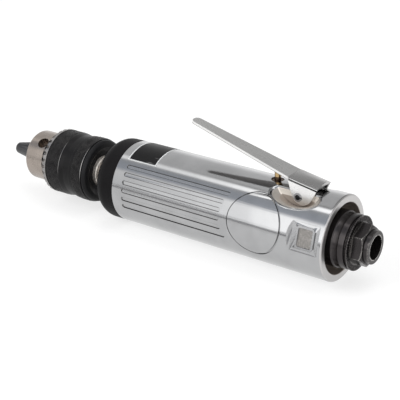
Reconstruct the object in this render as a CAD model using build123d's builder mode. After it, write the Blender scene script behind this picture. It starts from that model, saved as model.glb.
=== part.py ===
"""Straight air drill with a keyed three-jaw chuck, as an assembly of separate sub-parts.

Millimetres. X runs along the spindle from the chuck (negative) to the air inlet, whose mouth is the
origin. Z is up, towards the throttle lever.
"""
import os
from math import acos, cos, pi, radians, sin, sqrt, tan

from build123d import *

os.makedirs("parts", exist_ok=True)

# Fits between pieces
seat_gap = 0.02
run_gap = 0.05
slide_gap = 0.06
side_gap = 0.15
face_gap = 0.10

# Housing, from the front to the rear
housing_radius = 20.0
housing_bore = 17.2
edge_round = 0.4
rear_round = 1.0
ring_gear_length = 15.0
front_plate_length = 9.9
cylinder_length = 25.0
rear_plate_length = 8.5
gasket_thickness = 0.5
bulkhead_length = 17.2
valve_to_pivot = 14.15
pivot_to_recess = 8.65
recess_depth = 11.5
recess_radius = 16.35

# Marks on the outside of the housing
flute_count = 6
flute_pitch = 11.6
flute_width = 2.1
flute_depth = 0.45
flute_start = 6.0
mark_angle = 14.0
medallion_radius = 13.35
medallion_raise = 0.4
flute_end_radius = 18.2
pad_width = 9.0
pad_height = 10.4
pad_rim = 1.0
pad_stand = 0.75
pad_sink = 0.45
pad_from_rear = 8.7
pad_round = 1.7
flat_height = 13.4
flat_ahead = 7.0
flat_behind = 6.6
flat_ramp = 1.9
flat_step = 0.4
moat_width = 0.7
moat_depth = 0.35
label_start = 4.4
label_length = 16.7
label_half_angle = 37.0
label_thickness = 0.28
label_stand = 0.06

# Clamp nut and spindle
nut_thread_radius = 17.6
nut_spigot_length = 5.0
nut_shoulder = 5.8
nut_dome_radius = 7.0
nut_dome_turn = 70.0
nut_lip_radius = 5.2
nut_front_bore = 9.2
nut_lip_length = 2.9
shaft_radius = 6.0
collar_radius = 8.0
collar_length = 2.7
collar_round = 1.1
chuck_standoff = 8.28
spindle_bearing_radius = 14.0
spindle_bearing_width = 7.0
spindle_ball = 2.38
spindle_ball_count = 8
circlip_thickness = 1.0
circlip_depth = 0.4
seal_thickness = 1.1

# Planetary stage
gear_module = 0.75
pressure_angle = 25.0
addendum = 0.85
dedendum = 1.1
backlash = 0.06
sun_teeth = 9
planet_teeth = 15
planet_width = 7.2
carrier_radius = 13.4
carrier_front = 2.6
carrier_rear = 2.2
planet_pin_radius = 2.0
bush_wall = 0.5
post_radius = 2.4
post_circle = 10.6
ring_lip = 1.5
ring_lip_bore = 12.8

# Vane motor
rotor_radius = 12.9
cylinder_bore = 14.2
cylinder_offset = 1.2
vane_count = 5
vane_thickness = 1.9
vane_inner = 7.2
exhaust_flat = 16.0
exhaust_flat_cut = 6.0
exhaust_flat_land = 3.0
front_bearing_bore = 4.0
front_bearing_radius = 11.0
front_bearing_width = 7.0
front_ball = 1.98
rear_bearing_bore = 3.0
rear_bearing_radius = 9.5
rear_bearing_width = 6.0
rear_ball = 1.75
motor_ball_count = 7
dowel_radius = 1.0
dowel_circle = 15.65
dowel_reach = 3.0
dowel_grip = 5.0
supply_radius = 2.1
supply_height = 13.3
exhaust_radius = 1.6
exhaust_circle = 14.65
exhaust_angles = (38.0, 52.0, 66.0)

# Throttle valve
stem_radius = 1.5
poppet_radius = 4.2
poppet_height = 3.0
chamber_radius = 5.0
gallery_radius = 3.0
seat_height = 9.5
gallery_height = 6.0
bush_top_drop = 0.4
plug_radius = 5.9
plug_length = 11.5
plug_socket = 6.0
spring_mean_radius = 3.4
spring_wire = 0.4
spring_turns = 6
inlet_passage_radius = 3.5
inlet_passage_height = -3.0
stem_gap = 0.15

# Throttle lever
lever_thickness = 1.25
lever_slope = 14.95
lever_crease_ahead = 4.4
lever_crease_height = 6.54
lever_reach = 58.3
lever_tip_half = 2.64
lever_crease_half = 5.6
lever_tip_round = 2.3
ear_half_width = 6.1
ear_radius = 5.2
ear_centre_behind = 1.85
ear_centre_above = 1.9
ear_front_ahead = 5.6
ear_front_above = 7.5
ear_rear_behind = 9.5
ear_rear_above = 5.5
crown_front_above = 8.6
crown_front_drop = 0.5
crown_rear_above = 6.85
crown_rear_drop = 1.5
fold_round = 0.3
fold_lip = 0.35
fold_groove = 0.7
fold_groove_depth = 0.6
pivot_below_skin = 3.3
lever_pin_radius = 2.0
lever_pin_wall = 0.8
lever_pin_slit = 0.6
lever_pin_stand = 0.3
pocket_radius = 10.45
pocket_behind = -0.49
pocket_above = 5.54
pocket_flare_radius = 34.0
pocket_flare_behind = 0.6
pocket_flare_above = 32.7
pocket_flare_inset = 4.0
pocket_round = 1.6

# Rear end
hex_flats = 17.0
hex_length = 5.3
hex_corner_angle = 21.0
inlet_collar_radius = 7.7
inlet_collar_length = 2.2
inlet_radius = 5.55
inlet_depth = 14.4
inlet_spigot_radius = 8.0
inlet_spigot_reach = 11.5
inlet_through_radius = 3.6
screen_thickness = 0.6
screen_radius = 5.0
screen_hole = 0.55
oring_section = 0.7
deflector_reach = 8.4
deflector_radius = 13.0
deflector_neck = 12.3
deflector_lip = 12.5
deflector_groove = 11.65
serration_count = 60
serration_depth = 0.35
serration_inner = 9.8

# Chuck
jaw_slope = 12.5
jaw_radius = 3.2
jaw_tip_radius = 2.65
jaw_tip_round = 1.7
jaw_length = 32.6
jaw_split = 0.15
grip_opening = 10.0
nose_radius = 12.7
nose_length = 11.4
nose_round = 1.25
jaw_stand_out = 17.1
nut_ring_length = 5.5
nut_groove_radius = 9.0
chuck_hub_radius = 14.8
chuck_flange_radius = 15.9
chuck_flange_length = 2.25
chuck_length = 43.25
chuck_bore = 5.2
chuck_bore_depth = 20.0
chuck_thread_radius = 4.7
chuck_thread_length = 13.5
dish_radius = 12.6
dish_depth = 1.55
key_hole_radius = 3.0
key_hole_bottom = 7.2
key_hole_ahead = 3.1
key_hole_angle = 53.6
sleeve_radius = 16.2
sleeve_waist = 15.75
sleeve_parting = 0.3
tooth_land_radius = 13.2
tooth_rim_radius = 16.45
tooth_bevel_length = 3.9
tooth_rim_length = 1.9
tooth_count = 30
tooth_gap_radius = 0.95
tooth_phase = 5.8

# Stations along X, from the inlet mouth forwards
hex_rear = -inlet_collar_length
hex_front = hex_rear - hex_length
housing_rear = hex_front - deflector_reach
recess_floor = housing_rear - recess_depth
pivot_x = recess_floor - pivot_to_recess
valve_x = pivot_x - valve_to_pivot
motor_end = valve_x - bulkhead_length
rear_plate_end = motor_end - gasket_thickness
rear_plate_start = rear_plate_end - rear_plate_length
cylinder_start = rear_plate_start - cylinder_length
front_plate_start = cylinder_start - front_plate_length
ring_gear_start = front_plate_start - ring_gear_length
housing_front = ring_gear_start - face_gap - nut_spigot_length
nut_dome_length = nut_dome_radius * sin(radians(nut_dome_turn))
nut_lip_run = nut_lip_radius * (1.0 - sin(radians(nut_dome_turn)))
nut_front = housing_front - nut_shoulder - nut_dome_length - nut_lip_run
chuck_back = nut_front - chuck_standoff
chuck_front = chuck_back - chuck_length
jaw_tip = chuck_front - jaw_stand_out
sleeve_rear = chuck_back - chuck_flange_length - sleeve_parting
sleeve_front = chuck_front + nose_length + 0.4
nut_ring_front = sleeve_front + 0.7
nut_ring_rear = nut_ring_front + nut_ring_length
spindle_seat = chuck_back - dish_depth

# Gear sizes
ring_teeth = sun_teeth + 2 * planet_teeth
sun_pitch = gear_module * sun_teeth / 2
planet_pitch = gear_module * planet_teeth / 2
ring_pitch = gear_module * ring_teeth / 2
planet_circle = sun_pitch + planet_pitch
planet_angles = (90.0, 210.0, 330.0)
carrier_start = ring_gear_start + ring_lip + 0.4
planet_start = carrier_start + carrier_front + side_gap
carrier_rear_start = planet_start + planet_width + side_gap
carrier_end = carrier_rear_start + carrier_rear

# Bearing stations
front_race_start = nut_front + nut_lip_length
support_race_start = housing_front + nut_spigot_length - spindle_bearing_width
motor_bearing_start = front_plate_start + 0.05
tail_bearing_start = rear_plate_end - rear_bearing_width - 0.05

# Jaw geometry
jaw_sine = sin(radians(jaw_slope))
jaw_cosine = cos(radians(jaw_slope))
jaw_rise = tan(radians(jaw_slope))
jaw_axis_tip = jaw_tip_radius - jaw_radius / jaw_cosine
jaw_angles = (180.0 - key_hole_angle - 60.0, 180.0 - key_hole_angle + 60.0, 300.0 - key_hole_angle + 60.0)
jaw_travel = grip_opening / 2 / jaw_sine

# Lever geometry
lever_sine = sin(radians(lever_slope))
lever_cosine = cos(radians(lever_slope))
boss_half = ear_half_width - lever_thickness - side_gap
pivot_height = housing_radius - pivot_below_skin
pocket_flare_side = housing_radius - pocket_flare_inset
strip_rise = tan(radians(lever_slope))
strip_over_valve = lever_crease_height + (valve_to_pivot - lever_crease_ahead) * strip_rise
stem_ball_z = pivot_height + strip_over_valve - (stem_radius + stem_gap) / lever_cosine
plug_top = plug_length - sqrt(housing_radius ** 2 - plug_radius ** 2)
poppet_top = seat_height - face_gap
spring_top = poppet_top - poppet_height - 0.05


def turned(outline, mode=Mode.ADD):
    """Revolve a closed outline about the X axis into the current part.

    Args:
        outline: points (x, radius) or (x, radius, corner rounding).
        mode: how the solid joins the current part.
    """
    corners = [(point[0], point[1]) for point in outline]
    with BuildSketch() as profile:
        with BuildLine():
            Polyline(corners, close=True)
        make_face()
        for point in outline:
            if len(point) == 3:
                corner = profile.vertices().sort_by_distance((point[0], point[1], 0))[0]
                fillet(corner, point[2])
    revolve(profile.sketch, axis=Axis.X, mode=mode)


def bar_x(start, end, radius, y=0.0, z=0.0, mode=Mode.ADD):
    """Place a cylinder along X in the current part.

    Args:
        start, end: its stations along X.
        radius: its radius.
        y, z: where its axis lies.
        mode: how the solid joins the current part.
    """
    with Locations((start, y, z)):
        Cylinder(radius, end - start, rotation=(0, 90, 0), mode=mode,
                 align=(Align.CENTER, Align.CENTER, Align.MIN))


def bar_y(x, z, radius, half_length, mode=Mode.ADD):
    """Place a cylinder along Y, centred on the middle plane, in the current part.

    Args:
        x, z: where its axis lies.
        radius: its radius.
        half_length: half its length.
        mode: how the solid joins the current part.
    """
    with Locations((x, 0, z)):
        Cylinder(radius, 2 * half_length, rotation=(90, 0, 0), mode=mode)


def bar_z(x, bottom, top, radius, mode=Mode.ADD):
    """Place an upright cylinder on the middle plane in the current part.

    Args:
        x: where its axis lies.
        bottom, top: its heights.
        radius: its radius.
        mode: how the solid joins the current part.
    """
    with Locations((x, 0, bottom)):
        Cylinder(radius, top - bottom, align=(Align.CENTER, Align.CENTER, Align.MIN), mode=mode)


def ring(start, end, inner, outer, mode=Mode.ADD):
    """Revolve a plain ring about the X axis into the current part."""
    turned([(start, inner), (start, outer), (end, outer), (end, inner)], mode)


def race_groove(start, width, circle, ball):
    """Cut the ball groove of a bearing race into the current part."""
    with Locations((start + width / 2, 0, 0)):
        Torus(circle, ball + run_gap, rotation=(0, 90, 0), mode=Mode.SUBTRACT)


def ball_ring(start, width, circle, ball, count):
    """Place the balls of one bearing in the current part."""
    for index in range(count):
        turn = radians(360.0 * index / count)
        with Locations((start + width / 2, circle * cos(turn), circle * sin(turn))):
            Sphere(ball)


def polar(radius, angle):
    """Return the (y, z) point at a radius and an angle from +Y towards +Z."""
    return radius * cos(radians(angle)), radius * sin(radians(angle))


def involute(angle):
    """Return the involute function of a pressure angle in radians."""
    return tan(angle) - angle


def gear_profile(teeth, low, high, thickening, phase, centre=(0.0, 0.0)):
    """Return the sketch of a gear's outline, with one tooth centred on the phase angle.

    Args:
        teeth: number of teeth.
        low, high: radii of the roots and of the tips.
        thickening: added to the tooth's thickness on the pitch circle.
        phase: direction of the first tooth in degrees from +Y towards +Z.
        centre: the (y, z) point of the gear's axis.
    """
    pitch = gear_module * teeth / 2
    base = pitch * cos(radians(pressure_angle))
    foot = max(low, base + 0.002)
    at_pitch = pi / (2 * teeth) + thickening / (2 * pitch) + involute(radians(pressure_angle))

    def flank(radius, side, tooth):
        half = at_pitch - involute(acos(base / radius))
        turn = radians(phase) + 2 * pi * tooth / teeth + side * half
        return centre[0] + radius * cos(turn), centre[1] + radius * sin(turn)

    def land(radius, tooth):
        turn = radians(phase) + 2 * pi * tooth / teeth
        return centre[0] + radius * cos(turn), centre[1] + radius * sin(turn)

    def root(side, tooth):
        half = at_pitch - involute(acos(base / foot))
        turn = radians(phase) + 2 * pi * tooth / teeth + side * half
        return centre[0] + low * cos(turn), centre[1] + low * sin(turn)

    middle = (foot + high) / 2
    with BuildSketch() as outline:
        with BuildLine():
            for tooth in range(teeth):
                if foot > low:
                    Line(root(-1, tooth), flank(foot, -1, tooth))
                    Line(flank(foot, 1, tooth), root(1, tooth))
                ThreePointArc(flank(foot, -1, tooth), flank(middle, -1, tooth), flank(high, -1, tooth))
                ThreePointArc(flank(high, -1, tooth), land(high, tooth), flank(high, 1, tooth))
                ThreePointArc(flank(high, 1, tooth), flank(middle, 1, tooth), flank(foot, 1, tooth))
                ThreePointArc(root(1, tooth), land(low, tooth + 0.5), root(-1, tooth + 1))
        make_face()
    return outline.sketch


def gear_bar(start, end, outline, mode=Mode.ADD):
    """Extrude a gear's outline along X into the current part."""
    plane = Plane((start, 0, 0), x_dir=(0, 1, 0), z_dir=(1, 0, 0))
    extrude(plane * outline, amount=end - start, mode=mode)


def coil_path(x, bottom, height, radius, turns):
    """Return the edges of a coil about an upright axis, as pairs of tangent arcs for each quarter turn."""
    rise = height / (2 * pi * turns)
    slant = sqrt(radius ** 2 + rise ** 2)

    def point(turn):
        return Vector(x + radius * cos(turn), radius * sin(turn), bottom + rise * turn)

    def heading(turn):
        return Vector(-radius * sin(turn), radius * cos(turn), rise) * (1 / slant)

    edges = []
    for quarter in range(4 * turns):
        first = quarter * pi / 2
        last = first + pi / 2
        span = point(last) - point(first)
        both = heading(first) + heading(last)
        bend = 2 * (1 - heading(first).dot(heading(last)))
        along = span.dot(both)
        reach = (sqrt(along ** 2 + bend * span.dot(span)) - along) / bend
        joint = (point(first) + point(last) + (heading(first) - heading(last)) * reach) * 0.5
        turn = (joint - point(first) - heading(first) * reach).normalized()
        edges.append(Edge.make_tangent_arc(point(first), heading(first), joint))
        edges.append(Edge.make_tangent_arc(joint, turn, point(last)))
    return edges


# Housing
medallion_x = valve_x - 0.5

with BuildPart() as flute_cutters:
    for index in range(flute_count):
        off_middle = (index - (flute_count - 1) / 2) * flute_pitch
        arc_run = radians(off_middle) * housing_radius
        flute_end = medallion_x - sqrt(flute_end_radius ** 2 - arc_run ** 2)
        for facing in (180.0 - mark_angle + off_middle, mark_angle - off_middle):
            floor_y, floor_z = polar(housing_radius - flute_depth, facing)
            out_y, out_z = polar(1.0, facing)
            middle = (housing_front + flute_start + flute_end) / 2
            with BuildSketch(Plane((middle, floor_y, floor_z), x_dir=(1, 0, 0), z_dir=(0, out_y, out_z))):
                SlotOverall(flute_end - housing_front - flute_start, flute_width)
            extrude(amount=2 * flute_depth)

mark_plane = Plane((0, 0, 0), x_dir=(1, 0, 0),
                   z_dir=(0, -cos(radians(mark_angle)), sin(radians(mark_angle))))

pad_x = housing_rear - pad_from_rear
mark_root = housing_radius / 2
mark_clear = 2.0
flat_level = sqrt(housing_radius ** 2 - (flat_height / 2) ** 2)

with BuildPart() as raised_marks:
    with BuildSketch(mark_plane.offset(mark_root)):
        with Locations((medallion_x, 0)):
            Circle(medallion_radius)
    extrude(amount=housing_radius + mark_clear - mark_root)
    turned([(motor_end, mark_root), (motor_end, housing_radius + medallion_raise),
            (housing_rear, housing_radius + medallion_raise), (housing_rear, mark_root)], Mode.INTERSECT)
    mirror(about=Plane.XZ)

with BuildPart() as medallion_moats:
    with BuildSketch(mark_plane.offset(mark_root)):
        with Locations((medallion_x, 0)):
            Circle(medallion_radius + moat_width)
            Circle(medallion_radius, mode=Mode.SUBTRACT)
    extrude(amount=housing_radius + mark_clear - mark_root)
    turned([(motor_end, housing_radius - moat_depth), (motor_end, housing_radius + mark_clear),
            (housing_rear, housing_radius + mark_clear), (housing_rear, housing_radius - moat_depth)],
           Mode.INTERSECT)
    mirror(about=Plane.XZ)

with BuildPart() as milled_flats:
    with BuildSketch(Plane((0, 0, 0), x_dir=(1, 0, 0), z_dir=mark_plane.y_dir)):
        with BuildLine():
            flat_depth = housing_radius - flat_level
            over = 1.0 + mark_clear / flat_depth
            Polyline((pad_x - flat_ahead, -flat_level), (pad_x + flat_behind, -flat_level),
                     (pad_x + flat_behind + flat_step * over, -housing_radius - mark_clear),
                     (pad_x - flat_ahead - flat_ramp * over, -housing_radius - mark_clear), close=True)
        make_face()
    extrude(amount=housing_radius, both=True)
    mirror(about=Plane.XZ)

with BuildPart() as raised_pads:
    with BuildSketch(mark_plane.offset(flat_level - pad_stand)):
        with Locations((pad_x, 0)):
            RectangleRounded(pad_width, pad_height, pad_round)
    extrude(amount=2 * pad_stand)
    with BuildSketch(mark_plane.offset(flat_level + pad_stand - pad_sink)):
        with Locations((pad_x, 0)):
            RectangleRounded(pad_width - 2 * pad_rim, pad_height - 2 * pad_rim, pad_round - pad_rim)
    extrude(amount=2 * pad_sink, mode=Mode.SUBTRACT)
    mirror(about=Plane.XZ)

with BuildPart() as lever_pockets:
    with BuildSketch(Plane((0, -boss_half, 0), x_dir=(1, 0, 0), z_dir=(0, -1, 0))):
        with Locations((pivot_x + pocket_behind, pivot_height + pocket_above)):
            Circle(pocket_radius)
    with BuildSketch(Plane((0, -pocket_flare_side, 0), x_dir=(1, 0, 0), z_dir=(0, -1, 0))):
        with Locations((pivot_x + pocket_flare_behind, pivot_height + pocket_flare_above)):
            Circle(pocket_flare_radius)
    loft(ruled=True)
    mirror(about=Plane.XZ)

with BuildPart() as housing:
    turned([(housing_front, 0), (housing_front, housing_radius, edge_round),
            (housing_rear, housing_radius, rear_round), (housing_rear, recess_radius, edge_round),
            (recess_floor, recess_radius), (recess_floor, 0)])
    add(lever_pockets.part, mode=Mode.SUBTRACT)
    pocket_rims = [edge for edge in housing.edges()
                   if edge.geom_type != GeomType.LINE and edge.center().Z > 0
                   and recess_floor > edge.center().X > motor_end
                   and all(abs(sqrt(spot.Y ** 2 + spot.Z ** 2) - housing_radius) < 0.01
                           for spot in (edge @ 0.25, edge @ 0.5, edge @ 0.75))]
    fillet(pocket_rims, pocket_round)
    add(medallion_moats.part, mode=Mode.SUBTRACT)
    add(milled_flats.part, mode=Mode.SUBTRACT)
    add(raised_marks.part)
    add(raised_pads.part)
    add(flute_cutters.part, mode=Mode.SUBTRACT)
    turned([(housing_front, 0), (housing_front, nut_thread_radius),
            (housing_front + nut_spigot_length + face_gap, nut_thread_radius),
            (housing_front + nut_spigot_length + face_gap, housing_bore),
            (motor_end, housing_bore), (motor_end, 0)], Mode.SUBTRACT)
    bar_x(recess_floor - inlet_spigot_reach - 2.0, recess_floor, inlet_spigot_radius + run_gap,
          mode=Mode.SUBTRACT)
    bar_x(valve_x, recess_floor - inlet_spigot_reach - 1.0, inlet_passage_radius, 0.0, inlet_passage_height,
          Mode.SUBTRACT)
    bar_z(valve_x, -housing_radius - 1.0, seat_height, chamber_radius, Mode.SUBTRACT)
    bar_z(valve_x, -housing_radius - 1.0, plug_top, plug_radius + run_gap, Mode.SUBTRACT)
    bar_z(valve_x, 0.0, housing_radius + 1.0, gallery_radius, Mode.SUBTRACT)
    bar_x(motor_end, valve_x, supply_radius, 0.0, supply_height, Mode.SUBTRACT)
    for angle in exhaust_angles:
        for side in (-90.0 + angle, -90.0 - angle):
            hole_y, hole_z = polar(exhaust_circle, side)
            bar_x(motor_end, recess_floor, exhaust_radius, hole_y, hole_z, Mode.SUBTRACT)
    bar_x(motor_end, motor_end + dowel_reach + face_gap, dowel_radius + seat_gap, dowel_circle, 0.0,
          Mode.SUBTRACT)
    bar_y(pivot_x, pivot_height, lever_pin_radius + seat_gap, housing_radius, Mode.SUBTRACT)
    label_back = housing_radius + label_stand - label_thickness - seat_gap
    with BuildSketch(Plane((housing_front + label_start - seat_gap, 0, 0), x_dir=(0, 1, 0), z_dir=(1, 0, 0))):
        with BuildLine():
            label_sweep = label_half_angle + 0.1
            Line(polar(label_back, 90 - label_sweep), polar(housing_radius + 1.0, 90 - label_sweep))
            ThreePointArc(polar(housing_radius + 1.0, 90 - label_sweep), polar(housing_radius + 1.0, 90),
                          polar(housing_radius + 1.0, 90 + label_sweep))
            Line(polar(housing_radius + 1.0, 90 + label_sweep), polar(label_back, 90 + label_sweep))
            ThreePointArc(polar(label_back, 90 + label_sweep), polar(label_back, 90),
                          polar(label_back, 90 - label_sweep))
        make_face()
    extrude(amount=label_length + 2 * seat_gap, mode=Mode.SUBTRACT)
housing.part.label = "housing"
export_step(housing.part, "parts/housing.step")

with BuildPart() as label_plate:
    label_low = housing_radius + label_stand - label_thickness
    label_top = housing_radius + label_stand
    with BuildSketch(Plane((housing_front + label_start, 0, 0), x_dir=(0, 1, 0), z_dir=(1, 0, 0))):
        with BuildLine():
            Line(polar(label_low, 90 - label_half_angle), polar(label_top, 90 - label_half_angle))
            ThreePointArc(polar(label_top, 90 - label_half_angle), polar(label_top, 90),
                          polar(label_top, 90 + label_half_angle))
            Line(polar(label_top, 90 + label_half_angle), polar(label_low, 90 + label_half_angle))
            ThreePointArc(polar(label_low, 90 + label_half_angle), polar(label_low, 90),
                          polar(label_low, 90 - label_half_angle))
        make_face()
    extrude(amount=label_length)
label_plate.part.label = "label_plate"
export_step(label_plate.part, "parts/label_plate.step")

# Clamp nut, spindle bearings and their small pieces
with BuildPart() as clamp_nut:
    spigot_end = housing_front + nut_spigot_length
    with BuildSketch() as nut_profile:
        with BuildLine():
            shoulder = Polyline((front_race_start - seat_gap, nut_front_bore),
                                (front_race_start - seat_gap, spindle_bearing_radius + seat_gap),
                                (spigot_end, spindle_bearing_radius + seat_gap),
                                (spigot_end, nut_thread_radius - run_gap),
                                (housing_front, nut_thread_radius - run_gap),
                                (housing_front, housing_radius),
                                (housing_front - nut_shoulder, housing_radius))
            dome = JernArc(shoulder @ 1, (-1, 0), nut_dome_radius, nut_dome_turn)
            lip = JernArc(dome @ 1, dome % 1, nut_lip_radius, 90.0 - nut_dome_turn)
            Polyline(lip @ 1, (nut_front, nut_front_bore), (front_race_start - seat_gap, nut_front_bore))
        make_face()
    revolve(nut_profile.sketch, axis=Axis.X)
clamp_nut.part.label = "clamp_nut"
export_step(clamp_nut.part, "parts/clamp_nut.step")

race_circle = (shaft_radius + spindle_bearing_radius) / 2
race_shoulder = spindle_ball - 0.4

with BuildPart() as spindle_bearing_outer:
    ring(front_race_start, front_race_start + spindle_bearing_width, race_circle + race_shoulder,
         spindle_bearing_radius)
    race_groove(front_race_start, spindle_bearing_width, race_circle, spindle_ball)
spindle_bearing_outer.part.label = "spindle_bearing_outer"
export_step(spindle_bearing_outer.part, "parts/spindle_bearing_outer.step")

with BuildPart() as spindle_bearing_inner:
    ring(front_race_start, front_race_start + spindle_bearing_width, shaft_radius,
         race_circle - race_shoulder)
    race_groove(front_race_start, spindle_bearing_width, race_circle, spindle_ball)
spindle_bearing_inner.part.label = "spindle_bearing_inner"
export_step(spindle_bearing_inner.part, "parts/spindle_bearing_inner.step")

with BuildPart() as spindle_bearing_balls:
    ball_ring(front_race_start, spindle_bearing_width, race_circle, spindle_ball, spindle_ball_count)
spindle_bearing_balls.part.label = "spindle_bearing_balls"
export_step(spindle_bearing_balls.part, "parts/spindle_bearing_balls.step")

with BuildPart() as support_bearing_outer:
    ring(support_race_start, support_race_start + spindle_bearing_width, race_circle + race_shoulder,
         spindle_bearing_radius)
    race_groove(support_race_start, spindle_bearing_width, race_circle, spindle_ball)
support_bearing_outer.part.label = "support_bearing_outer"
export_step(support_bearing_outer.part, "parts/support_bearing_outer.step")

with BuildPart() as support_bearing_inner:
    ring(support_race_start, support_race_start + spindle_bearing_width, shaft_radius,
         race_circle - race_shoulder)
    race_groove(support_race_start, spindle_bearing_width, race_circle, spindle_ball)
support_bearing_inner.part.label = "support_bearing_inner"
export_step(support_bearing_inner.part, "parts/support_bearing_inner.step")

with BuildPart() as support_bearing_balls:
    ball_ring(support_race_start, spindle_bearing_width, race_circle, spindle_ball, spindle_ball_count)
support_bearing_balls.part.label = "support_bearing_balls"
export_step(support_bearing_balls.part, "parts/support_bearing_balls.step")

with BuildPart() as bearing_spacer:
    ring(front_race_start + spindle_bearing_width + 0.05, support_race_start - 0.05,
         race_circle + race_shoulder, spindle_bearing_radius)
bearing_spacer.part.label = "bearing_spacer"
export_step(bearing_spacer.part, "parts/bearing_spacer.step")

circlip_start = front_race_start - circlip_thickness - 0.05

with BuildPart() as spindle_circlip:
    ring(circlip_start, circlip_start + circlip_thickness, shaft_radius - circlip_depth + seat_gap,
         shaft_radius + 1.4)
    with Locations((circlip_start + circlip_thickness / 2, 0, -shaft_radius)):
        Box(2 * circlip_thickness, 3.0, 6.0, mode=Mode.SUBTRACT)
spindle_circlip.part.label = "spindle_circlip"
export_step(spindle_circlip.part, "parts/spindle_circlip.step")

with BuildPart() as spindle_seal:
    ring(nut_front + 0.35, nut_front + 0.35 + seal_thickness, shaft_radius + run_gap,
         nut_front_bore - seat_gap)
spindle_seal.part.label = "spindle_seal"
export_step(spindle_seal.part, "parts/spindle_seal.step")

# Spindle with the planet carrier
sun_tip = sun_pitch + addendum * gear_module

with BuildPart() as spindle:
    turned([(spindle_seat - chuck_thread_length, 0),
            (spindle_seat - chuck_thread_length, chuck_thread_radius, 0.6),
            (spindle_seat, chuck_thread_radius), (spindle_seat, collar_radius, 0.3),
            (spindle_seat + collar_length, collar_radius, collar_round),
            (spindle_seat + collar_length, shaft_radius - seat_gap),
            (circlip_start, shaft_radius - seat_gap), (circlip_start, shaft_radius - circlip_depth),
            (circlip_start + circlip_thickness + 0.05, shaft_radius - circlip_depth),
            (circlip_start + circlip_thickness + 0.05, shaft_radius - seat_gap),
            (support_race_start + spindle_bearing_width, shaft_radius - seat_gap),
            (support_race_start + spindle_bearing_width, shaft_radius + 1.0),
            (carrier_start, shaft_radius + 1.0), (carrier_start, carrier_radius),
            (carrier_start + carrier_front, carrier_radius), (carrier_start + carrier_front, 0)])
    ring(carrier_rear_start, carrier_end, sun_tip + 0.5, carrier_radius)
    for angle in planet_angles:
        post_y, post_z = polar(post_circle, angle + 60.0)
        bar_x(carrier_start + 0.5, carrier_end - 0.5, post_radius, post_y, post_z)
        pin_y, pin_z = polar(planet_circle, angle)
        bar_x(carrier_start - 1.0, carrier_end + 1.0, planet_pin_radius + seat_gap, pin_y, pin_z, Mode.SUBTRACT)
spindle.part.label = "spindle"
export_step(spindle.part, "parts/spindle.step")

with BuildPart() as planet_pins:
    for angle in planet_angles:
        pin_y, pin_z = polar(planet_circle, angle)
        bar_x(carrier_start + 0.1, carrier_end - 0.1, planet_pin_radius, pin_y, pin_z)
planet_pins.part.label = "planet_pins"
export_step(planet_pins.part, "parts/planet_pins.step")

planet_bore = planet_pin_radius + run_gap + bush_wall

for index, angle in enumerate(planet_angles):
    centre_y, centre_z = polar(planet_circle, angle)
    planet_outline = gear_profile(planet_teeth, planet_pitch - dedendum * gear_module,
                                  planet_pitch + addendum * gear_module, -backlash, angle,
                                  (centre_y, centre_z))
    with BuildPart() as planet_gear:
        gear_bar(planet_start, planet_start + planet_width, planet_outline)
        bar_x(planet_start - 1.0, planet_start + planet_width + 1.0, planet_bore + seat_gap, centre_y, centre_z,
              Mode.SUBTRACT)
    planet_gear.part.label = f"planet_gear_{index + 1}"
    export_step(planet_gear.part, f"parts/planet_gear_{index + 1}.step")

    with BuildPart() as planet_bush:
        bar_x(planet_start, planet_start + planet_width, planet_bore, centre_y, centre_z)
        bar_x(planet_start - 1.0, planet_start + planet_width + 1.0, planet_pin_radius + run_gap, centre_y, centre_z,
              Mode.SUBTRACT)
    planet_bush.part.label = f"planet_bush_{index + 1}"
    export_step(planet_bush.part, f"parts/planet_bush_{index + 1}.step")

stack_radius = housing_bore - run_gap

with BuildPart() as ring_gear:
    bar_x(ring_gear_start, front_plate_start, stack_radius)
    bar_x(ring_gear_start - 1.0, ring_gear_start + ring_lip + 0.2, ring_lip_bore, mode=Mode.SUBTRACT)
    ring_outline = gear_profile(ring_teeth, ring_pitch - addendum * gear_module,
                                ring_pitch + dedendum * gear_module, backlash, planet_angles[0])
    gear_bar(ring_gear_start + ring_lip, front_plate_start + 1.0, ring_outline, Mode.SUBTRACT)
ring_gear.part.label = "ring_gear"
export_step(ring_gear.part, "parts/ring_gear.step")

# Vane motor
front_wall_start = motor_bearing_start + front_bearing_width + face_gap
front_circle = (front_bearing_bore + front_bearing_radius) / 2
front_shoulder = front_ball - 0.35

with BuildPart() as front_plate:
    ring(front_plate_start, cylinder_start, front_bearing_bore + 0.3, stack_radius)
    bar_x(front_plate_start - 1.0, front_wall_start, front_bearing_radius + seat_gap, mode=Mode.SUBTRACT)
front_plate.part.label = "front_plate"
export_step(front_plate.part, "parts/front_plate.step")

with BuildPart() as front_bearing_outer:
    ring(motor_bearing_start, motor_bearing_start + front_bearing_width, front_circle + front_shoulder,
         front_bearing_radius)
    race_groove(motor_bearing_start, front_bearing_width, front_circle, front_ball)
front_bearing_outer.part.label = "front_bearing_outer"
export_step(front_bearing_outer.part, "parts/front_bearing_outer.step")

with BuildPart() as front_bearing_inner:
    ring(motor_bearing_start, motor_bearing_start + front_bearing_width, front_bearing_bore,
         front_circle - front_shoulder)
    race_groove(motor_bearing_start, front_bearing_width, front_circle, front_ball)
front_bearing_inner.part.label = "front_bearing_inner"
export_step(front_bearing_inner.part, "parts/front_bearing_inner.step")

with BuildPart() as front_bearing_balls:
    ball_ring(motor_bearing_start, front_bearing_width, front_circle, front_ball, motor_ball_count)
front_bearing_balls.part.label = "front_bearing_balls"
export_step(front_bearing_balls.part, "parts/front_bearing_balls.step")

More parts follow.
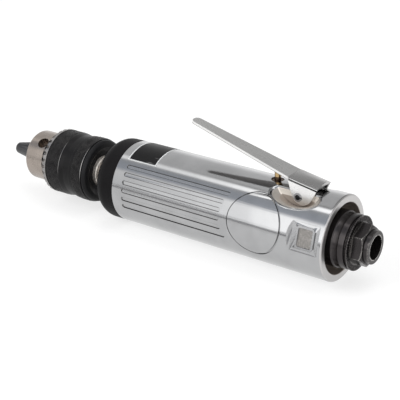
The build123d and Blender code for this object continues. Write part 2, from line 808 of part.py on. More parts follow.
with BuildPart() as cylinder:
    bar_x(cylinder_start, rear_plate_start, stack_radius)
    bar_x(cylinder_start - 1.0, rear_plate_start + 1.0, cylinder_bore, 0.0, -cylinder_offset, Mode.SUBTRACT)
    for lean in (-45.0, -135.0):
        flat_y, flat_z = polar(exhaust_flat + exhaust_flat_cut / 2, lean)
        with Locations(Location(((cylinder_start + rear_plate_start) / 2, flat_y, flat_z), (lean, 0, 0))):
            Box(cylinder_length - 2 * exhaust_flat_land, exhaust_flat_cut, 2 * exhaust_flat, mode=Mode.SUBTRACT)
            with Locations((-cylinder_length / 6, -4.0, 0), (cylinder_length / 6, -4.0, 0)):
                Box(cylinder_length / 5, 6.0, 2.4, mode=Mode.SUBTRACT)
        notch_y, notch_z = polar(exhaust_circle + 2.4, lean)
        with Locations(Location((rear_plate_start - 1.5, notch_y, notch_z), (lean, 0, 0))):
            Box(5.0, 2.2, 8.0, mode=Mode.SUBTRACT)
    bar_x(rear_plate_start - dowel_grip, rear_plate_start, dowel_radius + seat_gap, dowel_circle, 0.0, Mode.SUBTRACT)
cylinder.part.label = "cylinder"
export_step(cylinder.part, "parts/cylinder.step")

tail_wall_end = tail_bearing_start - face_gap
tail_circle = (rear_bearing_bore + rear_bearing_radius) / 2
tail_shoulder = rear_ball - 0.3

with BuildPart() as rear_plate:
    ring(rear_plate_start, rear_plate_end, rear_bearing_bore + 0.3, stack_radius)
    bar_x(tail_wall_end, rear_plate_end + 1.0, rear_bearing_radius + seat_gap, mode=Mode.SUBTRACT)
    bar_x(rear_plate_start - 1.0, rear_plate_end + 1.0, supply_radius, 0.0, supply_height, Mode.SUBTRACT)
    bar_x(rear_plate_start - 1.0, rear_plate_end + 1.0, dowel_radius + seat_gap, dowel_circle, 0.0, Mode.SUBTRACT)
    for angle in exhaust_angles:
        for side in (-90.0 + angle, -90.0 - angle):
            slot_y, slot_z = polar(exhaust_circle + 1.4, side)
            with Locations(Location(((rear_plate_start + rear_plate_end) / 2, slot_y, slot_z), (side, 0, 0))):
                Box(rear_plate_length + 2.0, 2 * exhaust_radius + 2.8, 2.0, mode=Mode.SUBTRACT)
rear_plate.part.label = "rear_plate"
export_step(rear_plate.part, "parts/rear_plate.step")

with BuildPart() as rear_bearing_outer:
    ring(tail_bearing_start, tail_bearing_start + rear_bearing_width, tail_circle + tail_shoulder,
         rear_bearing_radius)
    race_groove(tail_bearing_start, rear_bearing_width, tail_circle, rear_ball)
rear_bearing_outer.part.label = "rear_bearing_outer"
export_step(rear_bearing_outer.part, "parts/rear_bearing_outer.step")

with BuildPart() as rear_bearing_inner:
    ring(tail_bearing_start, tail_bearing_start + rear_bearing_width, rear_bearing_bore,
         tail_circle - tail_shoulder)
    race_groove(tail_bearing_start, rear_bearing_width, tail_circle, rear_ball)
rear_bearing_inner.part.label = "rear_bearing_inner"
export_step(rear_bearing_inner.part, "parts/rear_bearing_inner.step")

with BuildPart() as rear_bearing_balls:
    ball_ring(tail_bearing_start, rear_bearing_width, tail_circle, rear_ball, motor_ball_count)
rear_bearing_balls.part.label = "rear_bearing_balls"
export_step(rear_bearing_balls.part, "parts/rear_bearing_balls.step")

with BuildPart() as rear_gasket:
    ring(rear_plate_end, motor_end, tail_circle + tail_shoulder, stack_radius)
    bar_x(rear_plate_end - 1.0, motor_end + 1.0, supply_radius, 0.0, supply_height, Mode.SUBTRACT)
    bar_x(rear_plate_end - 1.0, motor_end + 1.0, dowel_radius + seat_gap, dowel_circle, 0.0, Mode.SUBTRACT)
    for angle in exhaust_angles:
        for side in (-90.0 + angle, -90.0 - angle):
            hole_y, hole_z = polar(exhaust_circle, side)
            bar_x(rear_plate_end - 1.0, motor_end + 1.0, exhaust_radius, hole_y, hole_z, Mode.SUBTRACT)
rear_gasket.part.label = "rear_gasket"
export_step(rear_gasket.part, "parts/rear_gasket.step")

with BuildPart() as cylinder_dowel:
    bar_x(rear_plate_start - dowel_grip + face_gap, motor_end + dowel_reach, dowel_radius, dowel_circle, 0.0)
cylinder_dowel.part.label = "cylinder_dowel"
export_step(cylinder_dowel.part, "parts/cylinder_dowel.step")

rotor_start = cylinder_start + face_gap
rotor_end = rear_plate_start - face_gap

with BuildPart() as rotor:
    turned([(planet_start + planet_width + 0.6, 0),
            (planet_start + planet_width + 0.6, sun_pitch - dedendum * gear_module),
            (front_plate_start, sun_pitch - dedendum * gear_module),
            (front_plate_start, front_bearing_bore - seat_gap),
            (rotor_start, front_bearing_bore - seat_gap), (rotor_start, rotor_radius),
            (rotor_end, rotor_radius), (rotor_end, rear_bearing_bore - seat_gap),
            (rear_plate_end - face_gap, rear_bearing_bore - seat_gap), (rear_plate_end - face_gap, 0)])
    sun_outline = gear_profile(sun_teeth, sun_pitch - dedendum * gear_module, sun_tip, -backlash,
                               planet_angles[0])
    gear_bar(planet_start + 0.3, front_plate_start - 0.3, sun_outline)
    for index in range(vane_count):
        turn = 360.0 * index / vane_count
        slot_middle = (vane_inner - 0.2 + rotor_radius + 2.0) / 2
        slot_y, slot_z = polar(slot_middle, turn)
        with Locations(Location(((rotor_start + rotor_end) / 2, slot_y, slot_z), (turn, 0, 0))):
            Box(rotor_end - rotor_start + 2.0, rotor_radius + 2.2 - vane_inner, vane_thickness + 0.1,
                mode=Mode.SUBTRACT)
rotor.part.label = "rotor"
export_step(rotor.part, "parts/rotor.step")

with BuildPart() as vanes:
    for index in range(vane_count):
        turn = 360.0 * index / vane_count
        blade_y, blade_z = polar((vane_inner + rotor_radius - 0.1) / 2, turn)
        with Locations(Location(((rotor_start + rotor_end) / 2, blade_y, blade_z), (turn, 0, 0))):
            Box(rotor_end - rotor_start, rotor_radius - 0.1 - vane_inner, vane_thickness)
vanes.part.label = "vanes"
export_step(vanes.part, "parts/vanes.step")

# Throttle valve
bush_bottom = seat_height + gallery_height
bush_top = housing_radius - bush_top_drop
oring_middle = bush_bottom + 1.2

with BuildPart() as valve_bushing:
    bar_z(valve_x, bush_bottom, bush_top, gallery_radius - seat_gap)
    bar_z(valve_x, bush_bottom - 1.0, bush_top + 1.0, stem_radius + run_gap, Mode.SUBTRACT)
    bar_z(valve_x, oring_middle - 0.6, oring_middle + 0.6, stem_radius + 0.85, Mode.SUBTRACT)
valve_bushing.part.label = "valve_bushing"
export_step(valve_bushing.part, "parts/valve_bushing.step")

with BuildPart() as stem_oring:
    with Locations((valve_x, 0, oring_middle)):
        Torus(stem_radius + run_gap + 0.38, 0.38)
stem_oring.part.label = "stem_oring"
export_step(stem_oring.part, "parts/stem_oring.step")

with BuildPart() as valve_stem:
    bar_z(valve_x, spring_top + 0.6, stem_ball_z, stem_radius)
    with Locations((valve_x, 0, stem_ball_z)):
        Sphere(stem_radius)
valve_stem.part.label = "valve_stem"
export_step(valve_stem.part, "parts/valve_stem.step")

with BuildPart() as valve_poppet:
    bar_z(valve_x, poppet_top - poppet_height, poppet_top, poppet_radius)
    chamfer(valve_poppet.edges().group_by(Axis.Z)[-1], 0.6)
    bar_z(valve_x, spring_top + 0.6, poppet_top + 1.0, stem_radius + seat_gap, Mode.SUBTRACT)
valve_poppet.part.label = "valve_poppet"
export_step(valve_poppet.part, "parts/valve_poppet.step")

spring_low = plug_top + spring_wire + 0.05
spring_rise = spring_top - spring_wire - spring_low
coil = coil_path(valve_x, spring_low, spring_rise, spring_mean_radius, spring_turns)

with BuildPart() as valve_spring:
    with BuildLine() as coil_line:
        add(coil)
    with BuildSketch(Plane(coil_line.line @ 0, x_dir=(1, 0, 0), z_dir=coil_line.line % 0)):
        Circle(spring_wire)
    sweep(path=coil_line.line)
valve_spring.part.label = "valve_spring"
export_step(valve_spring.part, "parts/valve_spring.step")
print("spring least gap", round(spring_rise / spring_turns - 2 * spring_wire, 3))

with BuildPart() as valve_plug:
    bar_z(valve_x, -housing_radius, plug_top, plug_radius)
    bar_x(valve_x - 2 * plug_radius, valve_x + 2 * plug_radius, housing_radius - 0.05, mode=Mode.INTERSECT)
    with BuildSketch(Plane((valve_x, 0, -housing_radius - 1.0))):
        RegularPolygon(plug_socket / 2, 6, major_radius=False)
    extrude(amount=6.0, mode=Mode.SUBTRACT)
    ring_low = plug_top - 3.0
    with BuildSketch(Plane((valve_x, 0, ring_low))):
        Circle(plug_radius + 1.0)
        Circle(plug_radius - 1.1, mode=Mode.SUBTRACT)
    extrude(amount=1.6, mode=Mode.SUBTRACT)
valve_plug.part.label = "valve_plug"
export_step(valve_plug.part, "parts/valve_plug.step")

with BuildPart() as plug_oring:
    with Locations((valve_x, 0, plug_top - 2.2)):
        Torus(plug_radius - 0.55, 0.52)
plug_oring.part.label = "plug_oring"
export_step(plug_oring.part, "parts/plug_oring.step")

# Throttle lever
crease_x = pivot_x - lever_crease_ahead
ear_x = pivot_x + ear_centre_behind
ear_z = pivot_height + ear_centre_above


def hinge_section(x, crown, drop):
    """Return the closed cross-section of the lever's hinge end, an inverted U with a crowned top.

    Args:
        x: station of the section.
        crown: height of the crown's top.
        drop: how far the folds lie below the crown's top.
    """
    outer = ear_half_width
    inner = ear_half_width - lever_thickness
    inner_top = crown - lever_thickness
    foot = pivot_height - 6.0
    with BuildSketch() as section:
        with BuildLine():
            ThreePointArc((-outer, crown - drop), (0, crown), (outer, crown - drop))
            Line((outer, crown - drop), (outer, foot))
            Line((outer, foot), (inner, foot))
            Line((inner, foot), (inner, inner_top - drop * 0.75))
            ThreePointArc((inner, inner_top - drop * 0.75), (0, inner_top), (-inner, inner_top - drop * 0.75))
            Line((-inner, inner_top - drop * 0.75), (-inner, foot))
            Line((-inner, foot), (-outer, foot))
            Line((-outer, foot), (-outer, crown - drop))
        make_face()
    return Plane((x, 0, 0), x_dir=(0, 1, 0), z_dir=(1, 0, 0)) * section.sketch


def tangent_point(from_x, from_z, side):
    """Return where a line from a point touches the ear's round bottom on one side of it."""
    run_x = from_x - ear_x
    run_z = from_z - ear_z
    distance = sqrt(run_x ** 2 + run_z ** 2)
    lean = acos(ear_radius / distance)
    along_x = run_x / distance
    along_z = run_z / distance
    unit_x = along_x * cos(lean) - side * along_z * sin(lean)
    unit_z = along_z * cos(lean) + side * along_x * sin(lean)
    return ear_x + ear_radius * unit_x, ear_z + ear_radius * unit_z


with BuildPart() as lever:
    front_x = pivot_x - ear_front_ahead
    rear_x = pivot_x + ear_rear_behind
    loft([hinge_section(front_x, pivot_height + crown_front_above, crown_front_drop),
          hinge_section(rear_x + 0.6, pivot_height + crown_rear_above, crown_rear_drop)], ruled=True)
    fold_edges = [edge for edge in lever.edges()
                  if abs(abs(edge.center().Y) - ear_half_width) < 0.01 and edge.center().Z > pivot_height + 2.0
                  and abs(edge.tangent_at(0.5).X) > 0.8]
    fillet(fold_edges, fold_round)
    front_touch = tangent_point(front_x, pivot_height + ear_front_above, 1)
    rear_touch = tangent_point(rear_x, pivot_height + ear_rear_above, -1)
    with BuildSketch(Plane.XZ):
        with BuildLine():
            Polyline((front_x, pivot_height + 12.0), (front_x, pivot_height + ear_front_above), front_touch)
            ThreePointArc(front_touch, (ear_x, ear_z - ear_radius), rear_touch)
            Polyline(rear_touch, (rear_x, pivot_height + ear_rear_above), (rear_x + 0.5, pivot_height + 12.0),
                     (front_x, pivot_height + 12.0))
        make_face()
    extrude(amount=20.0, both=True, mode=Mode.INTERSECT)
    strip_plane = Plane((crease_x, 0, pivot_height + lever_crease_height),
                        x_dir=(-lever_cosine, 0, lever_sine), z_dir=(lever_sine, 0, lever_cosine))
    with BuildSketch(strip_plane):
        with BuildLine():
            Polyline((0, -lever_crease_half), (lever_reach, -lever_tip_half), (lever_reach, lever_tip_half),
                     (0, lever_crease_half), close=True)
        strip_face = make_face()
        fillet(strip_face.vertices().sort_by(Axis.X)[-2:], lever_tip_round)
    extrude(amount=lever_thickness)
    bar_y(pivot_x, pivot_height, lever_pin_radius + run_gap, housing_radius, Mode.SUBTRACT)
    fold_front = pivot_height + crown_front_above - crown_front_drop - fold_lip - fold_groove
    fold_rear = pivot_height + crown_rear_above - crown_rear_drop - fold_lip - fold_groove
    for side in (-1, 1):
        with BuildSketch(Plane((0, side * ear_half_width, 0), x_dir=(1, 0, 0), z_dir=(0, -side, 0))):
            with BuildLine():
                Polyline((front_x - 1.0, side * fold_front), (rear_x + 1.0, side * fold_rear),
                         (rear_x + 1.0, side * (fold_rear + fold_groove)),
                         (front_x - 1.0, side * (fold_front + fold_groove)), close=True)
            make_face()
        extrude(amount=fold_groove_depth, mode=Mode.SUBTRACT)
lever.part.label = "lever"
export_step(lever.part, "parts/lever.step")

with BuildPart() as lever_pin:
    bar_y(pivot_x, pivot_height, lever_pin_radius, ear_half_width + lever_pin_stand)
    bar_y(pivot_x, pivot_height, lever_pin_radius - lever_pin_wall, housing_radius, Mode.SUBTRACT)
    with Locations((pivot_x + lever_pin_radius, 0, pivot_height)):
        Box(2 * lever_pin_radius, 4 * ear_half_width, lever_pin_slit, mode=Mode.SUBTRACT)
lever_pin.part.label = "lever_pin"
export_step(lever_pin.part, "parts/lever_pin.step")

# Rear end
spigot_start = recess_floor - inlet_spigot_reach
oring_x = recess_floor - 3.0
inlet_bottom = -inlet_depth

with BuildPart() as inlet_bushing:
    bar_x(spigot_start, hex_front, inlet_spigot_radius)
    with BuildSketch(Plane((hex_front, 0, 0), x_dir=(0, 1, 0), z_dir=(1, 0, 0))):
        RegularPolygon(hex_flats / 2, 6, major_radius=False, rotation=hex_corner_angle)
    extrude(amount=hex_length)
    hex_corner = hex_flats / sqrt(3)
    turned([(spigot_start, 0), (spigot_start, hex_corner + 1.0), (hex_rear - 1.1, hex_corner + 1.0),
            (hex_rear - 1.1, hex_corner + 0.25), (hex_rear, hex_flats / 2 - 0.35), (hex_rear, 0)], Mode.INTERSECT)
    turned([(hex_rear - 0.5, 0), (hex_rear - 0.5, inlet_collar_radius), (0, inlet_collar_radius, 0.5), (0, 0)])
    bar_x(spigot_start - 1.0, 1.0, inlet_through_radius, mode=Mode.SUBTRACT)
    bar_x(inlet_bottom, 1.0, inlet_radius, mode=Mode.SUBTRACT)
    bar_x(inlet_bottom - screen_thickness, 1.0, screen_radius + seat_gap, mode=Mode.SUBTRACT)
    ring(oring_x - 1.0, oring_x + 1.0, inlet_spigot_radius - 1.45, inlet_spigot_radius + 1.0, Mode.SUBTRACT)
inlet_bushing.part.label = "inlet_bushing"
export_step(inlet_bushing.part, "parts/inlet_bushing.step")

with BuildPart() as inlet_oring:
    with Locations((oring_x, 0, 0)):
        Torus(inlet_spigot_radius - oring_section + seat_gap, oring_section, rotation=(0, 90, 0))
inlet_oring.part.label = "inlet_oring"
export_step(inlet_oring.part, "parts/inlet_oring.step")

with BuildPart() as inlet_screen:
    bar_x(inlet_bottom - screen_thickness, inlet_bottom, screen_radius)
    for circle, count in ((0.0, 1), (1.6, 6), (3.1, 12)):
        for index in range(count):
            hole_y, hole_z = polar(circle, 360.0 * index / count)
            bar_x(inlet_bottom - 2.0, inlet_bottom + 1.0, screen_hole, hole_y, hole_z, Mode.SUBTRACT)
inlet_screen.part.label = "inlet_screen"
export_step(inlet_screen.part, "parts/inlet_screen.step")

with BuildPart() as exhaust_deflector:
    turned([(recess_floor, inlet_spigot_radius + run_gap), (recess_floor, deflector_radius),
            (housing_rear + 0.8, deflector_radius, 0.3), (housing_rear + 1.2, deflector_neck),
            (housing_rear + 3.2, deflector_neck), (housing_rear + 3.8, deflector_lip, 0.3),
            (housing_rear + 6.4, deflector_lip, 0.6), (housing_rear + 6.5, deflector_groove),
            (housing_rear + 7.4, deflector_groove), (housing_rear + 7.5, deflector_lip),
            (hex_front, deflector_lip, 0.2), (hex_front, inlet_spigot_radius + run_gap)])
    for index in range(serration_count):
        turn = 360.0 * index / serration_count
        cut_y, cut_z = polar((serration_inner + deflector_lip + 1.0) / 2, turn)
        with Locations(Location((hex_front + 0.1, cut_y, cut_z), (turn, 0, 0))):
            Box(2 * serration_depth, deflector_lip + 1.0 - serration_inner, 2 * serration_depth,
                rotation=(0, 45, 0), mode=Mode.SUBTRACT)
exhaust_deflector.part.label = "exhaust_deflector"
export_step(exhaust_deflector.part, "parts/exhaust_deflector.step")

# Chuck
hole_plane = Plane((jaw_tip, 0, jaw_axis_tip), x_dir=(0, 1, 0), z_dir=(jaw_cosine, 0, jaw_sine))

with BuildPart() as jaw_holes:
    with BuildSketch(hole_plane):
        Circle(jaw_radius + slide_gap)
    extrude(amount=jaw_length + jaw_travel + 0.8)

with BuildPart() as key_holes:
    for index in range(3):
        hole_y, hole_z = polar(key_hole_bottom, 180.0 - key_hole_angle + 120.0 * index)
        with Locations(Location((sleeve_front - key_hole_ahead, hole_y, hole_z),
                                (180.0 - key_hole_angle + 120.0 * index - 90.0, 0, 0))):
            Cylinder(key_hole_radius, nose_radius, align=(Align.CENTER, Align.CENTER, Align.MIN))

with BuildPart() as chuck_body:
    turned([(chuck_front, 0), (chuck_front, nose_radius, nose_round),
            (nut_ring_front - 0.25, nose_radius), (nut_ring_front - 0.25, nut_groove_radius),
            (nut_ring_rear + 0.25, nut_groove_radius), (nut_ring_rear + 0.25, chuck_hub_radius, 0.4),
            (chuck_back - chuck_flange_length, chuck_hub_radius),
            (chuck_back - chuck_flange_length, chuck_flange_radius, 0.2),
            (chuck_back, chuck_flange_radius, 2.0), (chuck_back, dish_radius),
            (spindle_seat, dish_radius - 2.6), (spindle_seat, 0)])
    bar_x(chuck_front - 1.0, chuck_front + chuck_bore_depth, chuck_bore, mode=Mode.SUBTRACT)
    bar_x(spindle_seat - chuck_thread_length - 0.4, spindle_seat + 1.0, chuck_thread_radius + run_gap,
          mode=Mode.SUBTRACT)
    add([Rot(angle - 90.0, 0, 0) * jaw_holes.part for angle in jaw_angles], mode=Mode.SUBTRACT)
    add(key_holes.part, mode=Mode.SUBTRACT)
chuck_body.part.label = "chuck_body"
export_step(chuck_body.part, "parts/chuck_body.step")

bevel_start = sleeve_front + tooth_bevel_length
rim_end = bevel_start + tooth_rim_length

with BuildPart() as tooth_gaps:
    gap_run = tooth_rim_radius - tooth_land_radius
    gap_plane = Plane((sleeve_front, 0, tooth_land_radius), x_dir=(0, 1, 0),
                      z_dir=(tooth_bevel_length, 0, gap_run))
    with BuildSketch(gap_plane.offset(-1.0)):
        Circle(tooth_gap_radius)
    extrude(amount=tooth_bevel_length + gap_run)

with BuildPart() as chuck_sleeve:
    turned([(sleeve_front, nose_radius + 0.08), (sleeve_front, tooth_land_radius),
            (bevel_start, tooth_rim_radius, 0.2), (rim_end, tooth_rim_radius),
            (rim_end + 0.2, sleeve_radius), (rim_end + 8.6, sleeve_radius), (rim_end + 11.2, sleeve_waist),
            (rim_end + 14.9, sleeve_waist, 0.3), (rim_end + 15.2, sleeve_radius, 0.2),
            (sleeve_rear, sleeve_radius, 0.3), (sleeve_rear, chuck_hub_radius + 0.08),
            (nut_ring_rear + 0.15, chuck_hub_radius + 0.08), (nut_ring_rear + 0.15, nose_radius + 0.08)])
    add([Rot(360.0 * index / tooth_count + 90.0 - tooth_phase, 0, 0) * tooth_gaps.part
         for index in range(tooth_count)], mode=Mode.SUBTRACT)
chuck_sleeve.part.label = "chuck_sleeve"
export_step(chuck_sleeve.part, "parts/chuck_sleeve.step")

jaw_back = jaw_tip_radius + jaw_rise * (nut_ring_front - jaw_tip)

with BuildPart() as chuck_nut:
    turned([(nut_ring_front + face_gap, jaw_back + side_gap), (nut_ring_front + face_gap, nose_radius + 0.06),
            (nut_ring_rear, nose_radius + 0.06),
            (nut_ring_rear, jaw_back + jaw_rise * nut_ring_length + side_gap)])
chuck_nut.part.label = "chuck_nut"
export_step(chuck_nut.part, "parts/chuck_nut.step")

for index, angle in enumerate(jaw_angles):
    with BuildPart() as jaw:
        with BuildSketch(hole_plane.offset(-4.0)):
            Circle(jaw_radius)
        extrude(amount=jaw_length + 4.0)
        with BuildSketch(Plane((jaw_tip - 5.0, 0, 0), x_dir=(0, 1, 0), z_dir=(1, 0, 0))):
            with BuildLine():
                apex = jaw_split / 2 / sin(radians(60.0))
                Polyline((0, apex), (30.0 * sin(radians(60.0)), apex + 15.0), (0, apex + 30.0),
                         (-30.0 * sin(radians(60.0)), apex + 15.0), close=True)
            make_face()
        extrude(amount=60.0, mode=Mode.INTERSECT)
        jaw_reach = jaw_length + 10.0
        turned([(jaw_tip, 0), (jaw_tip, jaw_tip_radius + 0.05, jaw_tip_round),
                (jaw_tip + jaw_reach, jaw_tip_radius + 0.05 + jaw_reach * jaw_rise), (jaw_tip + jaw_reach, 0)],
               Mode.INTERSECT)
    placed = Rot(angle - 90.0, 0, 0) * jaw.part
    placed.label = f"jaw_{index + 1}"
    export_step(placed, f"parts/jaw_{index + 1}.step")
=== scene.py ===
"""Straight air drill with a keyed chuck: finishes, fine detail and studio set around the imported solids."""
import logging
import math
from dataclasses import dataclass
from enum import Enum
from functools import cached_property

import bmesh
import bpy
from mathutils import Euler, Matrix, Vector


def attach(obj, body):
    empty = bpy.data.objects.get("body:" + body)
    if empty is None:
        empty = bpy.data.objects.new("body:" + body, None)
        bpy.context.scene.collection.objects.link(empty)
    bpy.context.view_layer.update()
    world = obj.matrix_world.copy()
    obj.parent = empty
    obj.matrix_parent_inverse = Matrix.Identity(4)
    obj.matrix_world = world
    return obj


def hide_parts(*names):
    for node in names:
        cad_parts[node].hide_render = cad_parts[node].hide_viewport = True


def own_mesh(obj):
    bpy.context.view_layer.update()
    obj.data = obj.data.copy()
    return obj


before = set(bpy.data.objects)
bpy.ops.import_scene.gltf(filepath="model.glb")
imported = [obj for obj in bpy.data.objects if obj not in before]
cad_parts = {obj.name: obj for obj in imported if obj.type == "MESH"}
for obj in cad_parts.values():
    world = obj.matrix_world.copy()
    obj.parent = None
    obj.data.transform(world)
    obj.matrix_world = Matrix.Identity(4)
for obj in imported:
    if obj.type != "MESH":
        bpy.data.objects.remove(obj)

Colour = Point = tuple[float, float, float]
Socket = bpy.types.NodeSocket
log = logging.getLogger("air_drill")

MM = 0.001
# Stations well past both ends of the tool, for a zone that has no end there.
OPEN_FRONT, OPEN_REAR = -1.0, 1.0
# Where the haze on a metal face begins and where it is full.
HAZE_EDGES = (0.35, 0.7)
FLOAT, INTEGER, VECTOR = "NodeSocketFloat", "NodeSocketInt", "NodeSocketVector"
GEOMETRY, MATERIAL = "NodeSocketGeometry", "NodeSocketMaterial"


def configure(thing: object, **settings: object) -> None:
    """Set several properties of one item."""
    for key, value in settings.items():
        setattr(thing, key, value)


def put(name: str, data: bpy.types.ID) -> bpy.types.Object:
    """Put a new object in the scene.

    Args:
        name: the object's name.
        data: its mesh, lamp or camera.

    Returns:
        The object.
    """
    thing = bpy.data.objects.new(name, data)
    bpy.context.scene.collection.objects.link(thing)
    return thing


def tint(colour: Colour, share: float) -> Colour:
    """Return a colour with each part multiplied by a share."""
    red, green, blue = colour
    return share * red, share * green, share * blue


class Graph:
    """Short calls for filling one node tree."""

    def __init__(self, tree: bpy.types.NodeTree) -> None:
        """Keep the tree and start it empty."""
        self.tree = tree
        tree.nodes.clear()

    def add(self, kind: str, feeds: dict | None = None, **settings: object) -> bpy.types.Node:
        """Add a node to the tree.

        Args:
            kind: the node's type name.
            feeds: a value or an output socket for each named or numbered input.
            settings: properties of the node, set before its inputs are fed.

        Returns:
            The new node.
        """
        node = self.tree.nodes.new(kind)
        configure(node, **settings)
        for key, value in (feeds or {}).items():
            self.feed(node.inputs[key], value)
        return node

    def feed(self, socket: Socket, value: object) -> None:
        """Join an output to an input, or set the input's own value.

        Args:
            socket: the input to feed.
            value: an output socket, a number, or the three or four numbers of a colour or vector.
        """
        if isinstance(value, Socket):
            self.tree.links.new(value, socket)
        elif socket.type == "RGBA" and len(value) == 3:
            socket.default_value = (*value, 1.0)
        else:
            socket.default_value = value

    def math(self, operation: str, first: object, *others: object) -> Socket:
        """Work out one number from others, taken one after another.

        Args:
            operation: the name of the sum.
            first: the first number or socket.
            others: the numbers or sockets that follow it, none for a sum of one number.

        Returns:
            The result's socket.
        """
        result = first
        for other in others or (0.0,):
            result = self.add("ShaderNodeMath", {0: result, 1: other}, operation=operation).outputs[0]
        return result

    def plus(self, value: object, mask: object, amount: object) -> Socket:
        """Add an amount to a number as far as a mask lets it."""
        return self.math("ADD", value, self.math("MULTIPLY", mask, amount))

    def gap(self, first: object, second: object) -> Socket:
        """Find how far apart two numbers are."""
        return self.math("ABSOLUTE", self.math("SUBTRACT", first, second))

    def step(self, value: object, low: float, high: float) -> Socket:
        """Rise smoothly from 0 at one value to 1 at another.

        Args:
            value: the number or socket to read.
            low: where the result is 0.
            high: where the result is 1; below low, the step falls.

        Returns:
            The result's socket.
        """
        rising = low < high
        ends = {"Value": value, "From Min": min(low, high), "From Max": max(low, high),
                "To Min": 0.0 if rising else 1.0, "To Max": 1.0 if rising else 0.0}
        return self.add("ShaderNodeMapRange", ends, interpolation_type="SMOOTHSTEP").outputs[0]

    def past(self, value: object, edge: float, fade: float) -> Socket:
        """Find values past an edge: above it for a fade over 0, and below it for one under 0."""
        return self.step(value, edge, edge + fade)

    def within(self, value: object, low: float, high: float, fade: float) -> Socket:
        """Find values between two edges, with a fade inside each."""
        return self.math("MULTIPLY", self.past(value, low, fade), self.past(value, high, -fade))

    def spread(self, value: object, low: object, high: object) -> Socket:
        """Stretch a number from 0 to 1 over the range from low to high."""
        return self.add("ShaderNodeMapRange", {"Value": value, "To Min": low, "To Max": high}).outputs[0]

    def blend(self, factor: object, first: object, second: object) -> Socket:
        """Mix two colours: all of the first at 0, all of the second at 1."""
        return self.add("ShaderNodeMix", {0: factor, 6: first, 7: second}, data_type="RGBA").outputs[2]

    def noise(self, vector: object, scale: object, detail: float = 3.0, rough: float = 0.5) -> Socket:
        """Make clouds of about 0.5, scale of them in a metre, with finer layers of a given strength."""
        feeds = {"Vector": vector, "Scale": scale, "Detail": detail, "Roughness": rough}
        return self.add("ShaderNodeTexNoise", feeds).outputs[0]

    def stretch(self, vector: object, scale: Point) -> Socket:
        """Stretch coordinates by a factor along each axis."""
        return self.add("ShaderNodeMapping", {"Vector": vector, "Scale": scale}).outputs[0]

    def bump(self, height: object, strength: float, reach: float) -> Socket:
        """Turn a height from 0 to 1 into a normal, where reach is the height of 1 in metres."""
        feeds = {"Height": height, "Strength": strength, "Distance": reach}
        return self.add("ShaderNodeBump", feeds).outputs[0]

    def vector(self, x: object = 0.0, y: object = 0.0, z: object = 0.0) -> Socket:
        """Join three numbers into a vector."""
        return self.add("ShaderNodeCombineXYZ", {0: x, 1: y, 2: z}).outputs[0]

    def axes(self, vector: object) -> tuple[Socket, ...]:
        """Split a vector into its three numbers."""
        return tuple(self.add("ShaderNodeSeparateXYZ", {0: vector}).outputs)

    def reach(self, y: object, z: object) -> Socket:
        """Find the distance from the X axis."""
        return self.math("SQRT", self.plus(self.math("MULTIPLY", y, y), z, z))


def start_group(name: str, kind: str, inputs: dict[str, object],
                outputs: dict[str, str]) -> tuple[Graph, dict[str, Socket], bpy.types.Node]:
    """Start a node group.

    Args:
        name: the group's name.
        kind: the tree's type name.
        inputs: each input's socket type, or a number for an input that usually has that value.
        outputs: each output's socket type.

    Returns:
        The graph, the inputs' sockets by name and the output node.
    """
    graph = Graph(bpy.data.node_groups.new(name, kind))
    sockets = graph.tree.interface
    for key, usual in inputs.items():
        numeric = isinstance(usual, float)
        socket = sockets.new_socket(key, in_out="INPUT", socket_type=FLOAT if numeric else usual)
        if numeric:
            socket.default_value = usual
    for key, socket_type in outputs.items():
        sockets.new_socket(key, in_out="OUTPUT", socket_type=socket_type)
    given = {socket.name: socket for socket in graph.add("NodeGroupInput").outputs}
    return graph, given, graph.add("NodeGroupOutput")


class Effect(Enum):
    """The node groups that several finishes share."""

    WEAR = "Edge wear"
    GRIME = "Corner shade and grime"
    LATHE = "Lathe marks"
    SKIN = "Cast skin"
    POLISH = "Polish marks"


